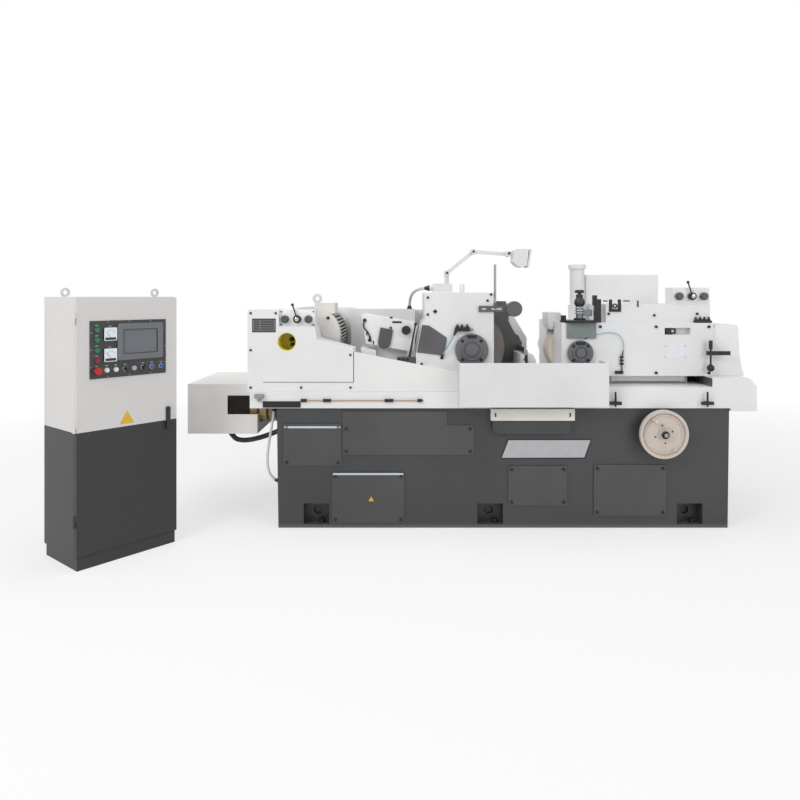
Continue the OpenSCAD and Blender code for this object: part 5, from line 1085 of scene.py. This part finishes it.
# Levers and knobs: grey moulded valve knobs, two valve levers in black plastic, each with a
# chrome cap on its hub, and blackened steel levers on the two clamps and the right end.
grey_plastic = moulded("grey_knob_plastic", "4a4b4f", 0.28)
black_plastic = moulded("black_knob_plastic", "1e1e20", 0.25)
for knob in ("left_knob_a", "left_knob_b", "right_knob_a", "right_knob_b"):
    coat_node(knob, [grey_plastic])
for lever in ("left_lever", "right_lever"):
    body = body_of(frame["nodes"][lever])[0]
    coat_node(lever, [black_plastic], width=0.001)
    hub = pivots[lever + "_turn"]
    shape = bmesh.new()
    add_turned(shape, (hub[0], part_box(lever)[0][1] + 0.002, hub[2]), to_front,
               [(0, 0.013), (0.003, 0.013), (0.004, 0.011)])
    finished(lever + "_cap", shape, [chrome], body, width=0)
for lever in ("clamp_lever_a", "clamp_lever_b", "end_lever"):
    coat_node(lever, [black_oxide], width=0.001)


# Control cabinet, apart on the same floor: folded sheet, powder coated light grey above and
# dark grey below, with a dark instrument plate, moulded bezels, lamps and glass on its door.
def two_tone(name, upper, lower, split, roughness, drift_w=0.4, pebble=0.003):
    """Powder coat in two colours, masked along a level line, with a fine pebbled skin. The
    pebbles are 1 mm across and are drawn three times coarser, so that they show."""
    coat, tree, place = start_finish(name)
    height = add(tree, "ShaderNodeSeparateXYZ", {"Vector": place}).outputs["Z"]
    above = add(tree, "ShaderNodeMath", {0: height, 1: split}, operation="GREATER_THAN")
    drift = add(tree, "ShaderNodeTexNoise", {"Vector": place, "Scale": 1 / drift_w, "Detail": 3.0})
    toned = add(tree, "ShaderNodeMix", {0: above.outputs[0], 6: linear(lower), 7: linear(upper)},
                data_type="RGBA")
    value = add(tree, "ShaderNodeMapRange", {"Value": drift.outputs["Fac"], "To Min": 0.95,
                                             "To Max": 1.04})
    uneven = add(tree, "ShaderNodeHueSaturation", {"Color": toned.outputs[2],
                                                   "Value": value.outputs[0]})
    skin = add(tree, "ShaderNodeTexNoise", {"Vector": place, "Scale": 1 / pebble, "Detail": 2.0})
    end_finish(tree, uneven.outputs[0], skin.outputs["Fac"], (roughness - 0.05, roughness + 0.08),
               (skin.outputs["Fac"], 0.15, 0.0004))
    return coat


coat_split = 0.733
powder_coat = two_tone("two_tone_powder_coat", "d6d4d3", "2e2d2d", coat_split, 0.42)
panel_enamel = enamel("instrument_plate_enamel", "3c3b3c", "363536", 0.4, spread=0.1)
gear_plastic = moulded("switchgear_plastic", "cfcfcb", 0.4)
coat_node("cabinet_body", [powder_coat], width=0.0012)
coat_node("cabinet_door", [powder_coat], width=0.0012)
coat_node("cabinet_gear", [gear_plastic], width=0)
cabinet_at, cabinet_turn = (-2.349, -1.247, 0), math.radians(50.4)
to_cabinet = Matrix.Translation(cabinet_at) @ Matrix.Rotation(cabinet_turn, 4, "Z")
from_cabinet = to_cabinet.inverted()
panel_low, panel_h = 1.012, 0.313
panel_left, panel_w = 0.0708, 0.446
plate_front = -0.004
lamp_places = [(panel_left + 0.0815 * panel_w, panel_low + share * panel_h)
               for share in (0.847, 0.668, 0.492, 0.319)]
meter_places = [(panel_left + 0.247 * panel_w, panel_low + share * panel_h)
                for share in (0.764, 0.399)]
screen_left, screen_right = panel_left + 0.336 * panel_w, panel_left + 0.95 * panel_w
screen_low, screen_high = panel_low + 0.294 * panel_h, panel_low + 0.946 * panel_h
bezel_black = moulded("bezel_black", "26272a", 0.35)
bezel_grey = moulded("bezel_grey", "6c6e72", 0.35)
screen_glass = moulded("screen_glass", "6a6e73", 0.12, grain=0.02)
meter_white = moulded("meter_face_white", "e3ebf2", 0.25)
lamp_green = moulded("lamp_green", "17785a", 0.15)
lamp_red = moulded("lamp_red", "8c1a24", 0.15)
collar_grey = moulded("collar_grey", "a9abae", 0.2)
bezel_front, meter_front = -0.012, plate_front - 0.01
bezel_w, meter_half_w, lamp_r = 0.03, 0.04, 0.015
panel_coats = [panel_enamel, bezel_black, screen_glass, meter_white, lamp_green, lamp_red,
               collar_grey, bezel_grey]


def panel_coat(at, facing):
    """Bezel and glass, meter faces, lamps with the lowest in red, and the buttons' collars."""
    place = from_cabinet @ at
    if place.y > plate_front - 0.0005:
        return 0
    if screen_left - 0.001 < place.x < screen_right + 0.001 and place.z > screen_low - 0.001:
        inner = screen_left + bezel_w < place.x < screen_right - bezel_w
        glass = inner and place.y > bezel_front + 0.0035 and abs(facing.z) < 0.5
        return 2 if glass else 7 if place.y < bezel_front + 0.0002 else 1
    for u, z in meter_places:
        if abs(place.x - u) < meter_half_w and abs(place.z - z) < meter_half_w:
            return 3 if place.y < meter_front + 0.0001 else 1
    for u, z in lamp_places:
        if math.hypot(place.x - u, place.z - z) < lamp_r:
            return 5 if (u, z) == lamp_places[-1] else 4
    return 6


coat_node("control_panel", panel_coats, where=panel_coat, width=0.0008)


# Instrument plate: bare caption strips, screws along its edge and a black line round the
# screen. Each meter has printed ticks round a quarter turn, a black band below them and a
# needle that rests low.
scale_r, scale_drop, scale_start, scale_sweep = 0.03, 0.012, 135, 90
tick_count, tick_steps, ink_half, ink_proud, ink_sunk = 11, 4, 0.0006, 0.0002, 0.0003
band_half_w, band_foot, band_top = 0.03, 0.032, 0.018
shape = bmesh.new()
for u, z in meter_places:
    for tick in range(tick_count):
        angle = math.radians(scale_start - scale_sweep * tick / (tick_count - 1))
        length = 0.005 if tick % 5 == 0 else 0.003
        for step in range(tick_steps):
            r = scale_r + length * step / (tick_steps - 1)
            ink_u, ink_z = u + r * math.cos(angle), z - scale_drop + r * math.sin(angle)
            add_plate(shape, meter_front, (ink_u - ink_half, ink_u + ink_half),
                      (ink_z - ink_half, ink_z + ink_half), ink_proud, sunk=ink_sunk)
    add_plate(shape, meter_front, (u - band_half_w, u + band_half_w),
              (z - band_foot, z - band_top), 2 * ink_proud, sunk=ink_sunk)
    add_tube(shape, [Vector((u, meter_front - 0.0006, z - band_top)),
                     Vector((u - 0.02, meter_front - 0.0006, z + 0.01))], 0.0007, sides=6)
line_w, line_inset_u, line_inset_z = 0.003, 0.037, 0.036
glass_left, glass_right = screen_left + line_inset_u, screen_right - line_inset_u
glass_foot, glass_top = screen_low + line_inset_z, screen_high - line_inset_z
for low_u, high_u, low_z, high_z in (
        (glass_left - line_w, glass_left, glass_foot - line_w, glass_top + line_w),
        (glass_right, glass_right + line_w, glass_foot - line_w, glass_top + line_w),
        (glass_left, glass_right, glass_foot - line_w, glass_foot),
        (glass_left, glass_right, glass_top, glass_top + line_w)):
    add_plate(shape, bezel_front, (low_u, high_u), (low_z, high_z), 0.0006, sunk=0.003)
bmesh.ops.transform(shape, matrix=to_cabinet, verts=shape.verts)
finished("meter_scales", shape, [bezel_black], "door", width=0)
lamp_caption_up, meter_caption_up = 0.023, 0.043
captions = ([(u, z + lamp_caption_up) for u, z in lamp_places]
            + [(u, z + meter_caption_up) for u, z in meter_places])
strip_half_w, strip_half_h = 0.008, 0.0018
button_caption_z = panel_low + 0.215 * panel_h
for button in ("stop_button", "white_button_a", "white_button_b", "selector", "dial",
               "blue_button_a", "blue_button_b"):
    low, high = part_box(button)
    place = from_cabinet @ ((Vector(low) + Vector(high)) / 2)
    captions.append((place.x, button_caption_z))
shape = bmesh.new()
for u, z in captions:
    add_plate(shape, plate_front, (u - strip_half_w, u + strip_half_w),
              (z - strip_half_h, z + strip_half_h), 0.0006, sunk=0.0004)
bmesh.ops.transform(shape, matrix=to_cabinet, verts=shape.verts)
finished("caption_strips", shape, [legend_pale], "door", width=0)
out_of_panel = to_cabinet.to_3x3() @ Vector(to_front)
edge_places = [(panel_left + share * panel_w, panel_low + rise * panel_h)
               for share in (0.22, 0.5, 0.78) for rise in (0.025, 0.975)]
edge_places += [(panel_left + share * panel_w, panel_low + rise * panel_h)
                for share in (0.015, 0.985) for rise in (0.2, 0.5, 0.8)]
screws("panel_screws", [(tuple(to_cabinet @ Vector((u, plate_front, z))), tuple(out_of_panel),
                         0.006) for u, z in edge_places], "door", collar_grey)


# Warning places on the door and on the bed's cover: plain yellow triangle plates of moulded
# plastic, glued on.
def triangle(shape, u, v, z, size, thick=0.0008):
    """Adds an upright triangle plate that faces -Y, its middle at a third of its height."""
    rise = size * math.sqrt(3) / 2
    rim = [(u - size / 2, z - rise / 3), (u + size / 2, z - rise / 3), (u, z + 2 * rise / 3)]
    front = [shape.verts.new((x, v - thick, y)) for x, y in rim]
    back = [shape.verts.new((x, v + thick, y)) for x, y in rim]
    shape.faces.new(front)
    shape.faces.new(back[::-1])
    for k in range(3):
        shape.faces.new((back[k - 1], back[k], front[k], front[k - 1]))


sign_yellow = moulded("sign_yellow", "d9b22c", 0.4)
shape = bmesh.new()
triangle(shape, 0.281, 0, 0.772, 0.085)
bmesh.ops.transform(shape, matrix=to_cabinet, verts=shape.verts)
finished("door_triangle", shape, [sign_yellow], "door", width=0)
shape = bmesh.new()
triangle(shape, -0.83, cover_y, 0.18, 0.034)
finished("cover_triangle", shape, [sign_yellow], "frame", width=0)


# Buttons and knobs on the cabinet's door: moulded caps on their stems, the emergency stop in
# red, two in white, two in blue, and a selector, a dial and a swing handle in black.
stop_red = moulded("stop_red_plastic", "b0221c", 0.25)
cap_white = moulded("white_button_plastic", "e2e2e0", 0.25)
cap_blue = moulded("blue_button_plastic", "2a5ea8", 0.25)
coat_node("door_handle", [black_plastic], width=0.001)
coat_node("stop_button", [stop_red], width=0.001)
for button in ("white_button_a", "white_button_b"):
    coat_node(button, [cap_white], width=0.001)
for button in ("blue_button_a", "blue_button_b"):
    coat_node(button, [cap_blue], width=0.001)
for knob in ("selector", "dial"):
    coat_node(knob, [black_plastic], width=0.0008)
